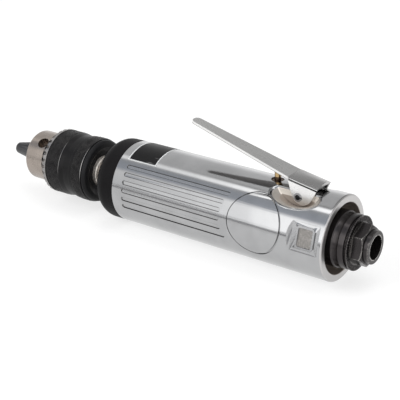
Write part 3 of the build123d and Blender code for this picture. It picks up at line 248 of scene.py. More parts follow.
class Effects:
    """The shared node groups, each built once; all of them read the surface's place."""

    rays = 6

    def __init__(self) -> None:
        """Build every group."""
        self.trees: dict[Effect, bpy.types.NodeTree] = {}
        for build in (self.edge_wear, self.corner_grime, self.lathe_marks, self.cast_skin, self.polish_marks):
            build()

    def start(self, effect: Effect, inputs: dict[str, float],
              outputs: tuple[str, ...]) -> tuple[Graph, dict[str, Socket], bpy.types.Node]:
        """Start one group and keep its tree.

        Args:
            effect: which group it is.
            inputs: the names and usual values of its numbers.
            outputs: the outputs' names.

        Returns:
            The graph, the inputs' sockets by name and the output node.
        """
        group = start_group(effect.value, "ShaderNodeTree", {"Vector": VECTOR, **inputs},
                            dict.fromkeys(outputs, FLOAT))
        self.trees[effect] = group[0].tree
        return group

    def edge_wear(self) -> None:
        """Build the mask of rubbed outer edges."""
        usual = {"Reach": 0.4 * MM, "Patches": 400.0, "Amount": 0.5}
        graph, given, out = self.start(Effect.WEAR, usual, ("Mask",))
        inside = graph.add("ShaderNodeAmbientOcclusion", {"Distance": given["Reach"]},
                           samples=self.rays, inside=True, only_local=True)
        edge = graph.step(inside.outputs["AO"], low=0.88, high=0.62)
        patches = graph.step(graph.noise(given["Vector"], given["Patches"], detail=2.0), low=0.25, high=0.6)
        graph.feed(out.inputs["Mask"], graph.math("MULTIPLY", edge, patches, given["Amount"]))

    def corner_grime(self) -> None:
        """Build the mask of painted shade and grime in corners, where ambient occlusion is low."""
        usual = {"Reach": 1.2 * MM, "Patches": 260.0, "Amount": 0.5}
        graph, given, out = self.start(Effect.GRIME, usual, ("Mask",))
        around = graph.add("ShaderNodeAmbientOcclusion", {"Distance": given["Reach"]},
                           samples=self.rays, only_local=True)
        # Painted shade: the mask rises where ambient occlusion is low, in corners and creases; the patches add
        # grime.
        corner = graph.step(around.outputs["AO"], low=0.85, high=0.35)
        patches = graph.spread(graph.noise(given["Vector"], given["Patches"]), low=0.5, high=1.2)
        graph.feed(out.inputs["Mask"], graph.math("MULTIPLY", corner, patches, given["Amount"]))

    def lathe_marks(self) -> None:
        """Build the fine rings that a lathe leaves about the X axis."""
        graph, given, out = self.start(Effect.LATHE, {"Rings": 5000.0}, ("Height", "Haze"))
        x, y, z = graph.axes(given["Vector"])
        drift = 0.12 * MM
        turn = graph.math("MULTIPLY", graph.math("ARCTAN2", z, y), drift)
        rings = graph.vector(x, graph.reach(y, z), turn)
        graph.feed(out.inputs["Height"], graph.noise(rings, given["Rings"], detail=4.0, rough=0.65))
        graph.feed(out.inputs["Haze"], graph.noise(given["Vector"], 140.0, detail=4.0, rough=0.6))

    def cast_skin(self) -> None:
        """Build the grainy skin of a rough casting."""
        graph, given, out = self.start(Effect.SKIN, {"Grains": 1500.0}, ("Height", "Stain"))
        place, grains = given["Vector"], given["Grains"]
        cells = graph.add("ShaderNodeTexVoronoi", {"Vector": place, "Scale": grains}).outputs[0]
        lumps = graph.noise(place, grains, detail=5.0, rough=0.6)
        graph.feed(out.inputs["Height"], graph.plus(graph.math("MULTIPLY", cells, 0.5), lumps, 0.5))
        graph.feed(out.inputs["Stain"], graph.noise(place, 120.0, detail=5.0, rough=0.65))

    def polish_marks(self) -> None:
        """Build the fine lines, scuffs and haze of a polished face."""
        usual = {"Lines": 2600.0, "Scuffs": 900.0}
        graph, given, out = self.start(Effect.POLISH, usual, ("Lines", "Haze", "Scuffs"))
        place = given["Vector"]
        along, across = (graph.stretch(place, scale) for scale in ((0.03, 1.0, 1.0), (0.08, 0.9, 0.9)))
        graph.feed(out.inputs["Lines"], graph.noise(along, given["Lines"], rough=0.6))
        graph.feed(out.inputs["Haze"], graph.noise(place, 70.0, detail=4.0, rough=0.55))
        scuff = graph.step(graph.noise(across, given["Scuffs"], detail=2.0), low=0.66, high=0.72)
        sparse = graph.step(graph.noise(place, 55.0, detail=2.0), low=0.5, high=0.62)
        graph.feed(out.inputs["Scuffs"], graph.math("MULTIPLY", scuff, sparse))


class Surface(Graph):
    """The tree of one new material, with its surface's place and the shared effects."""

    def __init__(self, name: str, effects: Effects | None = None) -> None:
        """Start the material.

        Args:
            name: the material's name.
            effects: the shared groups, where the material uses them.
        """
        self.material = bpy.data.materials.new(name)
        self.material.use_nodes = True
        self.effects = effects
        super().__init__(self.material.node_tree)

    @cached_property
    def place(self) -> Socket:
        """Return the surface's own place in metres."""
        return self.add("ShaderNodeTexCoord").outputs["Object"]

    @cached_property
    def xyz(self) -> tuple[Socket, ...]:
        """Return the place's three numbers."""
        return self.axes(self.place)

    @cached_property
    def radius(self) -> Socket:
        """Return the distance from the X axis."""
        return self.reach(*self.xyz[1:])

    def effect(self, effect: Effect, **numbers: object) -> bpy.types.NodeOutputs:
        """Place a shared group with its own numbers and return its outputs."""
        feeds = {"Vector": self.place, **numbers}
        return self.add("ShaderNodeGroup", feeds, node_tree=self.effects.trees[effect]).outputs

    def show(self, shader: Socket) -> bpy.types.Material:
        """Give the material its shader and return it."""
        self.add("ShaderNodeOutputMaterial", {"Surface": shader})
        return self.material

    def glow(self, colour: object, strength: object = 1.0) -> Socket:
        """Return a shader that gives off light."""
        return self.add("ShaderNodeEmission", {"Color": colour, "Strength": strength}).outputs[0]


class Marks(Enum):
    """Which fine marks a metal finish has: their effect, the input for their scale and their height's output."""

    LATHE = (Effect.LATHE, "Rings", "Height")
    POLISH = (Effect.POLISH, "Lines", "Lines")


@dataclass(frozen=True)
class Finish:
    """What every finish has: a name and a way to make its material."""

    name: str

    def build(self, effects: Effects) -> bpy.types.Material:
        """Make the material.

        Args:
            effects: the shared groups.

        Returns:
            The material.
        """
        graph = Surface("finish_" + self.name, effects)
        shader = graph.add("ShaderNodeBsdfPrincipled", self.paint(graph))
        return graph.show(shader.outputs[0])

    def paint(self, graph: Surface) -> dict[str, object]:
        """Wire the finish; each kind does so in its own way."""
        raise NotImplementedError


@dataclass(frozen=True)
class PaintedShadeZone:
    """A part of a metal finish with a darker tone painted as shade, on one side of a sloping plane and between two
    stations.
    """

    slope: float
    through: tuple[float, float]
    lift: float
    above: bool
    front: float
    rear: float
    tone: Colour
    rough: float
    fade: float = 0.2 * MM

    def mask(self, graph: Surface) -> Socket:
        """Find the zone.

        Args:
            graph: the material's tree.

        Returns:
            A socket that is 1 in the zone.
        """
        normal = (math.sin(self.slope), 0.0, math.cos(self.slope))
        level = self.through[0] * normal[0] + self.through[1] * normal[2] + self.lift
        height = graph.add("ShaderNodeVectorMath", {0: graph.place, 1: normal}, operation="DOT_PRODUCT")
        side = graph.past(height.outputs[1], level, self.fade if self.above else -self.fade)
        return graph.math("MULTIPLY", side, graph.within(graph.xyz[0], self.front, self.rear, self.fade))


@dataclass(frozen=True)
class MetalFinish(Finish):
    """Bare or plated metal with fine tool marks, haze, painted shade and grime in its corners, painted shade zones,
    and sometimes a coat at its rear.
    """

    colour: Colour
    shade: Colour
    roughness: float
    spread: float
    marks: Marks
    mark_scale: float
    mark_depth: float
    grime: float
    painted_shade_zones: tuple[PaintedShadeZone, ...] = ()
    metallic: float = 1.0
    coat_from: float | None = None
    coat_fade: float = 0.2 * MM
    coat: Colour = (0.012, 0.012, 0.013)
    coat_rough: float = 0.15
    coat_shine: float = 0.15
    shade_and_grime_tint: float = 0.25
    shade_and_grime_rough: float = 0.3
    mark_reach: float = 0.05 * MM

    def paint(self, graph: Surface) -> dict[str, object]:
        """Wire the marks, the painted corner shade and grime, the painted shade zones and the coat.

        Args:
            graph: the material's tree.

        Returns:
            What feeds each input of the shader.
        """
        effect, scale, height = self.marks.value
        marks = graph.effect(effect, **{scale: self.mark_scale})
        # Painted shade and grime: the corners darken towards a quarter of the shade colour and turn rougher.
        shade_and_grime = graph.effect(Effect.GRIME, Amount=self.grime)["Mask"]
        tone = graph.blend(graph.step(marks["Haze"], *HAZE_EDGES), self.colour, self.shade)
        tone = graph.blend(shade_and_grime, tone, tint(self.shade, self.shade_and_grime_tint))
        rough = graph.spread(marks["Haze"], self.roughness - self.spread, self.roughness + self.spread)
        rough = graph.plus(rough, shade_and_grime, self.shade_and_grime_rough)
        # Painted shade: each zone lays its own darker tone over its part of the finish.
        for zone in self.painted_shade_zones:
            mask = zone.mask(graph)
            tone = graph.blend(mask, tone, zone.tone)
            rough = graph.plus(rough, mask, zone.rough)
        normal = graph.bump(marks[height], self.mark_depth, self.mark_reach)
        feeds = {"Metallic": self.metallic, "Normal": normal}
        if self.coat_from is not None:
            coated = graph.past(graph.xyz[0], self.coat_from, self.coat_fade)
            tone = graph.blend(coated, tone, self.coat)
            rough = graph.plus(rough, coated, self.coat_rough)
            feeds |= {"Metallic": graph.math("SUBTRACT", 1.0, coated), "Specular IOR Level": self.coat_shine}
        return feeds | {"Base Color": tone, "Roughness": rough}


@dataclass(frozen=True)
class PaintedHighlightLines:
    """Thin lines about the X axis painted bright on one arc: a painted highlight."""

    stations: tuple[float, ...]
    middle: float
    spread: float
    half: float = 0.16 * MM
    core: float = 0.5
    arc_core: float = 0.4

    def mask(self, graph: Surface) -> Socket:
        """Find the painted highlight lines.

        Args:
            graph: the material's tree.

        Returns:
            A socket that is 1 on the lines and fades out towards the ends of the arc.
        """
        x, y, z = graph.xyz
        turn = graph.math("ARCTAN2", z, graph.math("MULTIPLY", y, -1.0))
        # Painted highlight: the lines are bright only on the arc that faces up towards the front.
        facing = graph.step(graph.gap(turn, self.middle), self.spread, self.arc_core * self.spread)
        lines = (graph.step(graph.gap(x, station), self.half, self.core * self.half) for station in self.stations)
        return graph.math("MULTIPLY", graph.math("MAXIMUM", *lines), facing)


@dataclass(frozen=True)
class FaceGrooveShade:
    """Painted shade in the grooves just under a face across the X axis."""

    front: float
    rear: float
    radius: float
    fade: float = 0.06 * MM
    rim_fade: float = 0.1 * MM

    def mask(self, graph: Surface) -> Socket:
        """Find the grooves, as a socket that is 1 in them."""
        depth = graph.within(graph.xyz[0], self.front, self.rear, self.fade)
        return graph.math("MULTIPLY", depth, graph.past(graph.radius, self.radius, -self.rim_fade))


@dataclass(frozen=True)
class CoatedFinish(Finish):
    """A dark coat over steel, rubbed through at its edges, with painted shade in its grooves and, on the chuck,
    painted highlight lines.
    """

    colour: Colour
    pale: Colour
    steel: Colour = (0.42, 0.41, 0.4)
    roughness: float = 0.42
    wear: float = 0.5
    wear_reach: float = 0.4 * MM
    grain: float = 2200.0
    grain_depth: float = 0.2
    grain_reach: float = 0.06 * MM
    shine: float = 0.28
    metal: float = 0.0
    bare_ahead: float | None = None
    bare_fade: float = 0.2 * MM
    lines: PaintedHighlightLines | None = None
    groove_shade: float = 0.0
    groove_shade_reach: float = 0.9 * MM
    groove_shade_tint: float = 0.2
    hollow_tone: FaceGrooveShade | None = None
    face_groove_shade_tint: float = 0.06
    rough_range: tuple[float, float] = (-0.08, 0.1)
    wear_and_highlight_gloss: float = 0.08

    def paint(self, graph: Surface) -> dict[str, object]:
        """Wire the coat, the steel that shows through it, the painted highlight lines and the painted shade in the
        grooves.

        Args:
            graph: the material's tree.

        Returns:
            What feeds each input of the shader.
        """
        skin = graph.effect(Effect.SKIN, Grains=self.grain)
        wear_and_painted_highlight = graph.effect(Effect.WEAR, Reach=self.wear_reach, Amount=self.wear)["Mask"]
        if self.bare_ahead is not None:
            bare = graph.step(graph.xyz[0], self.bare_ahead + self.bare_fade, self.bare_ahead)
            wear_and_painted_highlight = graph.math("MAXIMUM", wear_and_painted_highlight, bare)
        # Painted highlight: the lines are painted as bare steel, like the worn edges.
        if self.lines:
            wear_and_painted_highlight = graph.math("MAXIMUM", wear_and_painted_highlight, self.lines.mask(graph))
        coat = graph.blend(skin["Stain"], self.colour, self.pale)
        # Painted shade in the grooves, where ambient occlusion is low.
        if self.groove_shade:
            shade_and_grime = graph.effect(Effect.GRIME, Reach=self.groove_shade_reach, Amount=self.groove_shade)["Mask"]
            coat = graph.blend(shade_and_grime, coat, tint(self.colour, self.groove_shade_tint))
        # Painted shade: the grooves just under the face are painted nearly black.
        if self.hollow_tone:
            coat = graph.blend(self.hollow_tone.mask(graph), coat, tint(self.colour, self.face_groove_shade_tint))
        rough = graph.spread(skin["Stain"], *(self.roughness + part for part in self.rough_range))
        return {"Base Color": graph.blend(wear_and_painted_highlight, coat, self.steel),
                "Metallic": graph.spread(wear_and_painted_highlight, self.metal, 1.0), "Specular IOR Level": self.shine,
                "Roughness": graph.plus(rough, wear_and_painted_highlight, -self.wear_and_highlight_gloss),
                "Normal": graph.bump(skin["Height"], self.grain_depth, self.grain_reach)}


@dataclass(frozen=True)
class PolishedCasting(Finish):
    """Aluminium polished on its outer skin, as cast in the lever pockets and turned on its rear end, with painted
    shade on the flute walls and in its corners and painted light on the pocket walls.
    """

    colour: Colour = (0.43, 0.432, 0.437)
    shade: Colour = (0.385, 0.387, 0.392)
    cast: Colour = (0.47, 0.44, 0.405)
    cast_tint: float = 0.72
    cast_metallic: float = 0.3
    pocket_wall_painted_light: Colour = (0.86, 0.80, 0.73)
    wall_y: float = 5.5 * MM
    wall_fade: float = 0.2 * MM
    pad_low: Colour = (0.10, 0.095, 0.09)
    pad_high: Colour = (0.42, 0.40, 0.38)
    hollow_tone: Colour = (0.40, 0.345, 0.30)
    turned: Colour = (0.56, 0.55, 0.545)
    flute_wall_painted_shade: Colour = (0.09, 0.085, 0.08)
    flute_wall_shade_share: float = 0.85
    shade_and_grime: Colour = (0.05, 0.048, 0.046)
    shade_and_grime_reach: float = 0.8 * MM
    shade_and_grime_amount: float = 0.75
    gloss: tuple[float, float] = (0.09, 0.16)
    scuff_rough: float = 0.08
    pocket_rough: float = 0.36
    field_rough: float = 0.3
    flute_rough: float = 0.12
    turned_rough: float = 0.24
    recess_rough: float = 0.3
    streaks: tuple[float, float] = (0.1, 0.2)
    field_grain: float = 4.0
    grain_depth: float = 0.4
    grain_reach: float = 0.1 * MM
    skin_radius: float = 19.35 * MM
    pocket_z: float = 11.0 * MM
    pocket_front: float = -53.0 * MM
    pocket_rear: float = -21.0 * MM
    pocket_fade: float = 0.5 * MM
    flute_end: float = -66.0 * MM
    flute_floor: float = 19.562 * MM
    floor_fade: float = 0.004 * MM
    flute_rim: float = 19.96 * MM
    rim_fade: float = 0.03 * MM
    end_x: float = -16.6 * MM
    recess_radius: float = 16.7 * MM
    edge_fade: float = 0.3 * MM
    pad_angle: float = math.radians(14.0)
    pad_x: float = -24.6 * MM
    field_half: float = 3.45 * MM
    field_rise: float = 4.15 * MM
    field_fade: float = 0.1 * MM
    field_low: float = 19.0 * MM
    field_high: float = 19.35 * MM
    level_fade: float = 0.05 * MM

    def paint(self, graph: Surface) -> dict[str, object]:
        """Wire the polished skin, the pockets with their painted light, the flutes with their painted shade, the
        pads, the rear end and the painted corner shade and grime.

        Args:
            graph: the material's tree.

        Returns:
            What feeds each input of the shader.
        """
        x, y, z = graph.xyz
        pocket = graph.math("MULTIPLY", graph.past(graph.radius, self.skin_radius, -self.edge_fade),
                            graph.past(z, self.pocket_z, self.pocket_fade),
                            graph.within(x, self.pocket_front, self.pocket_rear, self.pocket_fade))
        flute = graph.math("MULTIPLY", graph.past(x, self.flute_end, -self.pocket_fade),
                           graph.past(graph.radius, self.flute_rim, -self.rim_fade))
        flute_wall = graph.math("MULTIPLY", flute, graph.past(graph.radius, self.flute_floor, self.floor_fade))
        field = self.pad_field(graph)
        turned = graph.past(x, self.end_x, self.edge_fade)
        recess = graph.past(graph.radius, self.recess_radius, -self.edge_fade)
        marks, skin = graph.effect(Effect.POLISH), graph.effect(Effect.SKIN)
        # Painted shade and grime: the casting's corners darken nearly to black.
        shade_and_grime = graph.effect(Effect.GRIME, Reach=self.shade_and_grime_reach, Amount=self.shade_and_grime_amount)["Mask"]
        bright = graph.blend(graph.step(marks["Haze"], *HAZE_EDGES), self.colour, self.shade)
        bright = graph.blend(turned, bright, self.turned)
        dull = graph.blend(skin["Stain"], self.cast, tint(self.cast, self.cast_tint))
        # Painted light: within the pockets, the inner wall near the ear is painted pale where the ear's shade
        # falls.
        painted_light_wall = graph.past(graph.math("ABSOLUTE", y), self.wall_y, -self.wall_fade)
        tone = graph.blend(pocket, bright, graph.blend(painted_light_wall, dull, self.pocket_wall_painted_light))
        tone = graph.blend(field, tone, graph.blend(skin["Height"], self.pad_low, self.pad_high))
        # Painted shade: the flute walls are darkened to draw each flute's outline.
        tone = graph.blend(graph.math("MULTIPLY", flute_wall, self.flute_wall_shade_share), tone, self.flute_wall_painted_shade)
        tone = graph.blend(recess, tone, self.hollow_tone)
        rough = graph.spread(marks["Haze"], *self.gloss)
        for mask, extra in ((marks["Scuffs"], self.scuff_rough), (pocket, self.pocket_rough),
                            (field, self.field_rough), (flute, self.flute_rough), (turned, self.turned_rough),
                            (recess, self.recess_rough)):
            rough = graph.plus(rough, mask, extra)
        lines = graph.math("MULTIPLY", marks["Lines"], graph.spread(flute, *self.streaks))
        grain = graph.plus(lines, skin["Height"], graph.plus(pocket, field, self.field_grain))
        as_cast = graph.math("MAXIMUM", pocket, recess)
        return {"Base Color": graph.blend(shade_and_grime, tone, self.shade_and_grime), "Roughness": rough,
                "Metallic": graph.spread(as_cast, 1.0, self.cast_metallic),
                "Normal": graph.bump(grain, self.grain_depth, self.grain_reach)}

    def pad_field(self, graph: Surface) -> Socket:
        """Find the sunk field inside the frame of each side pad.

        Args:
            graph: the material's tree.

        Returns:
            A socket that is 1 on the field.
        """
        x, y, z = graph.xyz
        side = graph.math("ABSOLUTE", y)
        sine, cosine = math.sin(self.pad_angle), math.cos(self.pad_angle)
        rise = graph.gap(graph.math("MULTIPLY", z, cosine), graph.math("MULTIPLY", side, sine))
        level = graph.plus(graph.math("MULTIPLY", side, cosine), z, sine)
        return graph.math("MULTIPLY", graph.past(graph.gap(x, self.pad_x), self.field_half, -self.field_fade),
                          graph.past(rise, self.field_rise, -self.field_fade),
                          graph.within(level, self.field_low, self.field_high, self.level_fade))


@dataclass(frozen=True)
class LabelPrint(Finish):
    """A black label with a pale border, wrapped over the top of the housing."""

    ink: Colour = (0.003, 0.003, 0.0032)
    ink_tint: float = 1.8
    border: Colour = (0.72, 0.73, 0.74)
    border_tint: float = 0.85
    scuff: Colour = (0.4, 0.4, 0.4)
    scuff_share: float = 0.3
    shine: float = 0.16
    roughness: tuple[float, float] = (0.3, 0.46)
    grain: float = 4000.0
    grain_depth: float = 0.08
    grain_reach: float = 0.05 * MM
    middle_x: float = -118.65 * MM
    half_length: float = 8.35 * MM
    half_angle: float = math.radians(37.0)
    radius: float = 20.0 * MM
    border_width: float = 0.67 * MM
    border_fade: float = 0.1 * MM

    def paint(self, graph: Surface) -> dict[str, object]:
        """Wire the ink, the border and the scuffs.

        Args:
            graph: the material's tree.

        Returns:
            What feeds each input of the shader.
        """
        x, y, z = graph.xyz
        turn = graph.math("MULTIPLY", graph.math("ABSOLUTE", graph.math("ARCTAN2", y, z)), self.radius)
        sides = ((graph.gap(x, self.middle_x), self.half_length), (turn, self.half_angle * self.radius))
        edge = graph.math("MAXIMUM", *(graph.past(off, half - self.border_width, self.border_fade)
                                       for off, half in sides))
        marks, skin = graph.effect(Effect.POLISH), graph.effect(Effect.SKIN, Grains=self.grain)
        ink = graph.blend(skin["Stain"], self.ink, tint(self.ink, self.ink_tint))
        paper = graph.blend(skin["Stain"], self.border, tint(self.border, self.border_tint))
        scuffed = graph.math("MULTIPLY", marks["Scuffs"], self.scuff_share)
        return {"Base Color": graph.blend(scuffed, graph.blend(edge, ink, paper), self.scuff),
                "Specular IOR Level": self.shine, "Roughness": graph.spread(marks["Haze"], *self.roughness),
                "Normal": graph.bump(skin["Height"], self.grain_depth, self.grain_reach)}


@dataclass(frozen=True)
class SoftFinish(Finish):
    """Rubber or fibre: matt, speckled and slightly uneven."""

    colour: Colour = (0.015, 0.015, 0.016)
    fleck: Colour = (0.04, 0.04, 0.04)
    fleck_edges: tuple[float, float] = (0.45, 0.7)
    roughness: tuple[float, float] = (0.5, 0.75)
    grain: float = 2500.0
    grain_depth: float = 0.3
    grain_reach: float = 0.06 * MM

    def paint(self, graph: Surface) -> dict[str, object]:
        """Wire the flecks and the grain.

        Args:
            graph: the material's tree.

        Returns:
            What feeds each input of the shader.
        """
        skin = graph.effect(Effect.SKIN, Grains=self.grain)
        flecks = graph.step(skin["Height"], *self.fleck_edges)
        return {"Base Color": graph.blend(flecks, self.colour, self.fleck),
                "Roughness": graph.spread(skin["Stain"], *self.roughness),
                "Normal": graph.bump(skin["Height"], self.grain_depth, self.grain_reach)}


@dataclass(frozen=True)
class LaminateFinish(Finish):
    """Cloth laminate of the vanes: brown resin over a fine square weave."""

    resin: Colour = (0.22, 0.10, 0.035)
    thread: Colour = (0.36, 0.19, 0.075)
    threads: float = 1400.0
    wander: float = 1.0
    stain: Colour = (0.12, 0.055, 0.02)
    stain_share: float = 0.5
    roughness: tuple[float, float] = (0.38, 0.55)
    weave_depth: float = 0.25
    weave_reach: float = 0.05 * MM

    def paint(self, graph: Surface) -> dict[str, object]:
        """Wire the weave and its stains.

        Args:
            graph: the material's tree.

        Returns:
            What feeds each input of the shader.
        """
        feeds = {"Vector": graph.place, "Scale": self.threads, "Distortion": self.wander}
        warp, weft = (graph.add("ShaderNodeTexWave", feeds, bands_direction=way).outputs[1] for way in "XZ")
        weave = graph.math("MULTIPLY", graph.math("ADD", warp, weft), 0.5)
        stain = graph.math("MULTIPLY", graph.effect(Effect.SKIN)["Stain"], self.stain_share)
        return {"Base Color": graph.blend(stain, graph.blend(weave, self.resin, self.thread), self.stain),
                "Roughness": graph.spread(weave, *self.roughness),
                "Normal": graph.bump(weave, self.weave_depth, self.weave_reach)}


# The lever's arm and crown: how steeply each falls to the rear, and X and Z of points on it.
ARM_SLOPE = math.radians(14.95)
ARM_POINT = (-40.45 * MM, 23.24 * MM)
CROWN_POINT, CROWN_END = (-41.65 * MM, 24.8 * MM), (-25.95 * MM, 22.05 * MM)
CROWN_SLOPE = math.atan2(CROWN_POINT[1] - CROWN_END[1], CROWN_END[0] - CROWN_POINT[0])
# Painted shade on the lever: the arm's underside darker, a near-black line along the crown's fold, and the crown
# darker and glossier than the rest.
LEVER_PAINTED_SHADE = (
    PaintedShadeZone(ARM_SLOPE, ARM_POINT, lift=0.3 * MM, above=False, front=OPEN_FRONT, rear=-41.9 * MM,
         tone=(0.26, 0.25, 0.245), rough=0.12),
    PaintedShadeZone(CROWN_SLOPE, CROWN_POINT, lift=-1.06 * MM, above=True, front=-41.6 * MM, rear=OPEN_REAR,
         tone=(0.02, 0.02, 0.02), rough=0.2, fade=0.05 * MM),
    PaintedShadeZone(CROWN_SLOPE, CROWN_POINT, lift=-0.38 * MM, above=True, front=-41.75 * MM, rear=OPEN_REAR,
         tone=(0.52, 0.515, 0.51), rough=-0.2, fade=0.05 * MM))
# Painted shade: the brass is darkened below 21.6 mm, where it goes down into the housing.
BRASS_FOOT_SHADE = PaintedShadeZone(0.0, (0.0, 21.6 * MM), lift=0.0, above=False, front=OPEN_FRONT, rear=OPEN_REAR,
                  tone=(0.10, 0.066, 0.045), rough=0.12)

FINISHES: tuple[Finish, ...] = (
    PolishedCasting("polished_aluminium"),
    LabelPrint("label"),
    # black_oxide paints shade into its grooves.
    CoatedFinish("black_oxide", (0.030, 0.027, 0.028), (0.062, 0.057, 0.057), (0.75, 0.72, 0.69), roughness=0.26,
                 wear=0.95, wear_reach=0.6 * MM, grain=1600.0, grain_depth=0.12, metal=0.8, groove_shade=0.9),
    # deflector_oxide paints shade into its grooves, and paints its serration grooves nearly black as shade.
    CoatedFinish("deflector_oxide", (0.034, 0.030, 0.031), (0.07, 0.064, 0.064), (0.34, 0.32, 0.31),
                 roughness=0.22, wear=0.6, grain=1600.0, grain_depth=0.12, metal=0.8, groove_shade=1.2,
                 hollow_tone=FaceGrooveShade(front=-8.2 * MM, rear=-7.53 * MM, radius=12.4 * MM)),
    CoatedFinish("black_coat", (0.0045, 0.004, 0.0046), (0.009, 0.0085, 0.009), roughness=0.5, wear=0.01,
                 grain=3000.0, shine=0.09),
    # chuck_black has painted highlight lines on the arc that faces up towards the front.
    CoatedFinish("chuck_black", (0.0045, 0.0042, 0.0046), (0.009, 0.0085, 0.009), (0.30, 0.29, 0.285),
                 roughness=0.36, wear=0.1, shine=0.16, bare_ahead=-178.2 * MM,
                 lines=PaintedHighlightLines((-169.6 * MM, -155.1 * MM), math.radians(30.0), math.radians(38.0))),
    MetalFinish("gear_steel", (0.5, 0.5, 0.5), (0.42, 0.42, 0.43), 0.3, 0.08, Marks.LATHE, 6000.0, 0.2, 0.6),
    MetalFinish("motor_iron", (0.34, 0.33, 0.32), (0.27, 0.26, 0.25), 0.42, 0.1, Marks.LATHE, 3500.0, 0.3, 0.6),
    SoftFinish("gasket", (0.16, 0.15, 0.12), (0.25, 0.23, 0.19), roughness=(0.7, 0.95), grain=1800.0),
    SoftFinish("seal_rubber"),
    MetalFinish("screen_steel", (0.5, 0.5, 0.49), (0.4, 0.4, 0.4), 0.36, 0.08, Marks.POLISH, 3000.0, 0.2, 0.8),
    MetalFinish("brass", (0.60, 0.43, 0.22), (0.48, 0.33, 0.16), 0.3, 0.07, Marks.LATHE, 6000.0, 0.2, 0.6,
                painted_shade_zones=(BRASS_FOOT_SHADE,)),
    MetalFinish("spring_steel", (0.42, 0.42, 0.43), (0.34, 0.34, 0.35), 0.3, 0.08, Marks.POLISH, 4000.0, 0.2,
                0.7),
    MetalFinish("spindle_steel", (0.80, 0.74, 0.68), (0.68, 0.62, 0.56), 0.4, 0.07, Marks.LATHE, 5000.0, 0.25,
                0.3, metallic=0.5),
    MetalFinish("chuck_nickel", (0.36, 0.315, 0.28), (0.31, 0.27, 0.24), 0.27, 0.06, Marks.LATHE, 4200.0, 0.25,
                0.6, coat_from=-184.3 * MM),
    MetalFinish("jaw_steel", (0.085, 0.084, 0.086), (0.06, 0.06, 0.062), 0.34, 0.08, Marks.POLISH, 4200.0, 0.3,
                0.4),
    MetalFinish("plated_steel", (0.88, 0.875, 0.865), (0.82, 0.815, 0.805), 0.27, 0.05, Marks.POLISH, 3000.0,
                0.12, 0.9, painted_shade_zones=LEVER_PAINTED_SHADE),
    LaminateFinish("vane_laminate"),
)


class Wardrobe:
    """Every finish as a material, by its name; most are named like the record's slots."""

    def __init__(self) -> None:
        """Build the shared groups and then each finish."""
        effects = Effects()
        self.materials = {finish.name: finish.build(effects) for finish in FINISHES}

    def wear(self, piece: bpy.types.Object, finish: str) -> None:
        """Give a piece one finish by its name."""
        piece.data.materials.clear()
        piece.data.materials.append(self.materials[finish])

    def dress_nodes(self) -> None:
        """Give every CAD node the finish of its own slot."""
        for name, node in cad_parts.items():
            for holder in node.material_slots:
                holder.material = self.materials[holder.material.name.split(".")[0]]
            log.info("dressed %s", name)


def plain_piece(name: str, source: bpy.types.Object) -> bpy.types.Object:
    """Turn an object with live modifiers into a plain mesh piece and remove the source.

    Args:
        name: the new piece's name.
        source: the object with modifiers.

    Returns:
        The piece, at the origin.
    """
    graph = bpy.context.evaluated_depsgraph_get()
    mesh = bpy.data.meshes.new_from_object(source.evaluated_get(graph), preserve_all_data_layers=True,
                                           depsgraph=graph)
    old = source.data
    bpy.data.objects.remove(source)
    if old.users == 0:
        bpy.data.meshes.remove(old)
    mesh.name = name
    return put(name, mesh)


@dataclass
class RefinedNode:
    """A copy of a CAD node, merged, smoothed and with its sharp edges rounded."""

    node: str
    body: str
    slot: str
    finish: str
    edge_width: float = 0.0
    skin_radius: float = 0.0
    edge_angle: float = math.radians(30.0)
    edge_steps: int = 2
    merge: float = 0.0001 * MM
    flat_angle: float = math.radians(0.3)
    skin_slack: float = 0.02 * MM
    outward_share: float = 0.97

    def build(self, wardrobe: Wardrobe) -> bpy.types.Object:
        """Make the copy and put it in the node's place.

        Args:
            wardrobe: the materials.

        Returns:
            The piece.
        """
        source = put(self.node + "_source", self.merged())
        if self.edge_width > 0.0:
            configure(source.modifiers.new("rounded edges", "BEVEL"), width=self.edge_width,
                      segments=self.edge_steps, limit_method="ANGLE", angle_limit=self.edge_angle,
                      use_clamp_overlap=True, miter_outer="MITER_ARC")
        else:
            source.data.set_sharp_from_angle(angle=self.edge_angle)
        source.modifiers.new("face normals", "WEIGHTED_NORMAL").keep_sharp = True
        piece = plain_piece(self.node + "_refined", source)
        if self.skin_radius > 0.0:
            self.true_skin(piece.data)
        wardrobe.wear(piece, self.finish)
        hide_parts(self.node)
        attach(piece, self.body)
        log.info("refined %s with %d faces", self.node, len(piece.data.polygons))
        return piece

    def merged(self) -> bpy.types.Mesh:
        """Copy the node's mesh with its loose triangles merged.

        Returns:
            The smooth mesh.
        """
        mesh = bpy.data.meshes.new(self.node + "_copy")
        shape = bmesh.new()
        shape.from_mesh(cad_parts[self.node].data)
        bmesh.ops.remove_doubles(shape, verts=shape.verts, dist=self.merge)
        if self.edge_width > 0.0:
            bmesh.ops.dissolve_limit(shape, angle_limit=self.flat_angle, verts=shape.verts, edges=shape.edges)
        for part in (*shape.faces, *shape.edges):
            part.smooth = True
        shape.to_mesh(mesh)
        shape.free()
        return mesh

    def true_skin(self, mesh: bpy.types.Mesh) -> None:
        """Give the faces of the round skin the exact normals of a cylinder about the X axis.

        Args:
            mesh: the copy's mesh.
        """
        normals = [corner.vector.copy() for corner in mesh.corner_normals]
        for face in mesh.polygons:
            places = [mesh.vertices[index].co for index in face.vertices]
            radii = [math.hypot(place.y, place.z) for place in places]
            on_skin = all(abs(radius - self.skin_radius) < self.skin_slack for radius in radii)
            outward = Vector((0.0, face.center.y, face.center.z)).normalized()
            if on_skin and face.normal.dot(outward) > self.outward_share:
                for corner, place in zip(face.loop_indices, places):
                    normals[corner] = Vector((0.0, place.y, place.z)).normalized()
        mesh.normals_split_custom_set(normals)


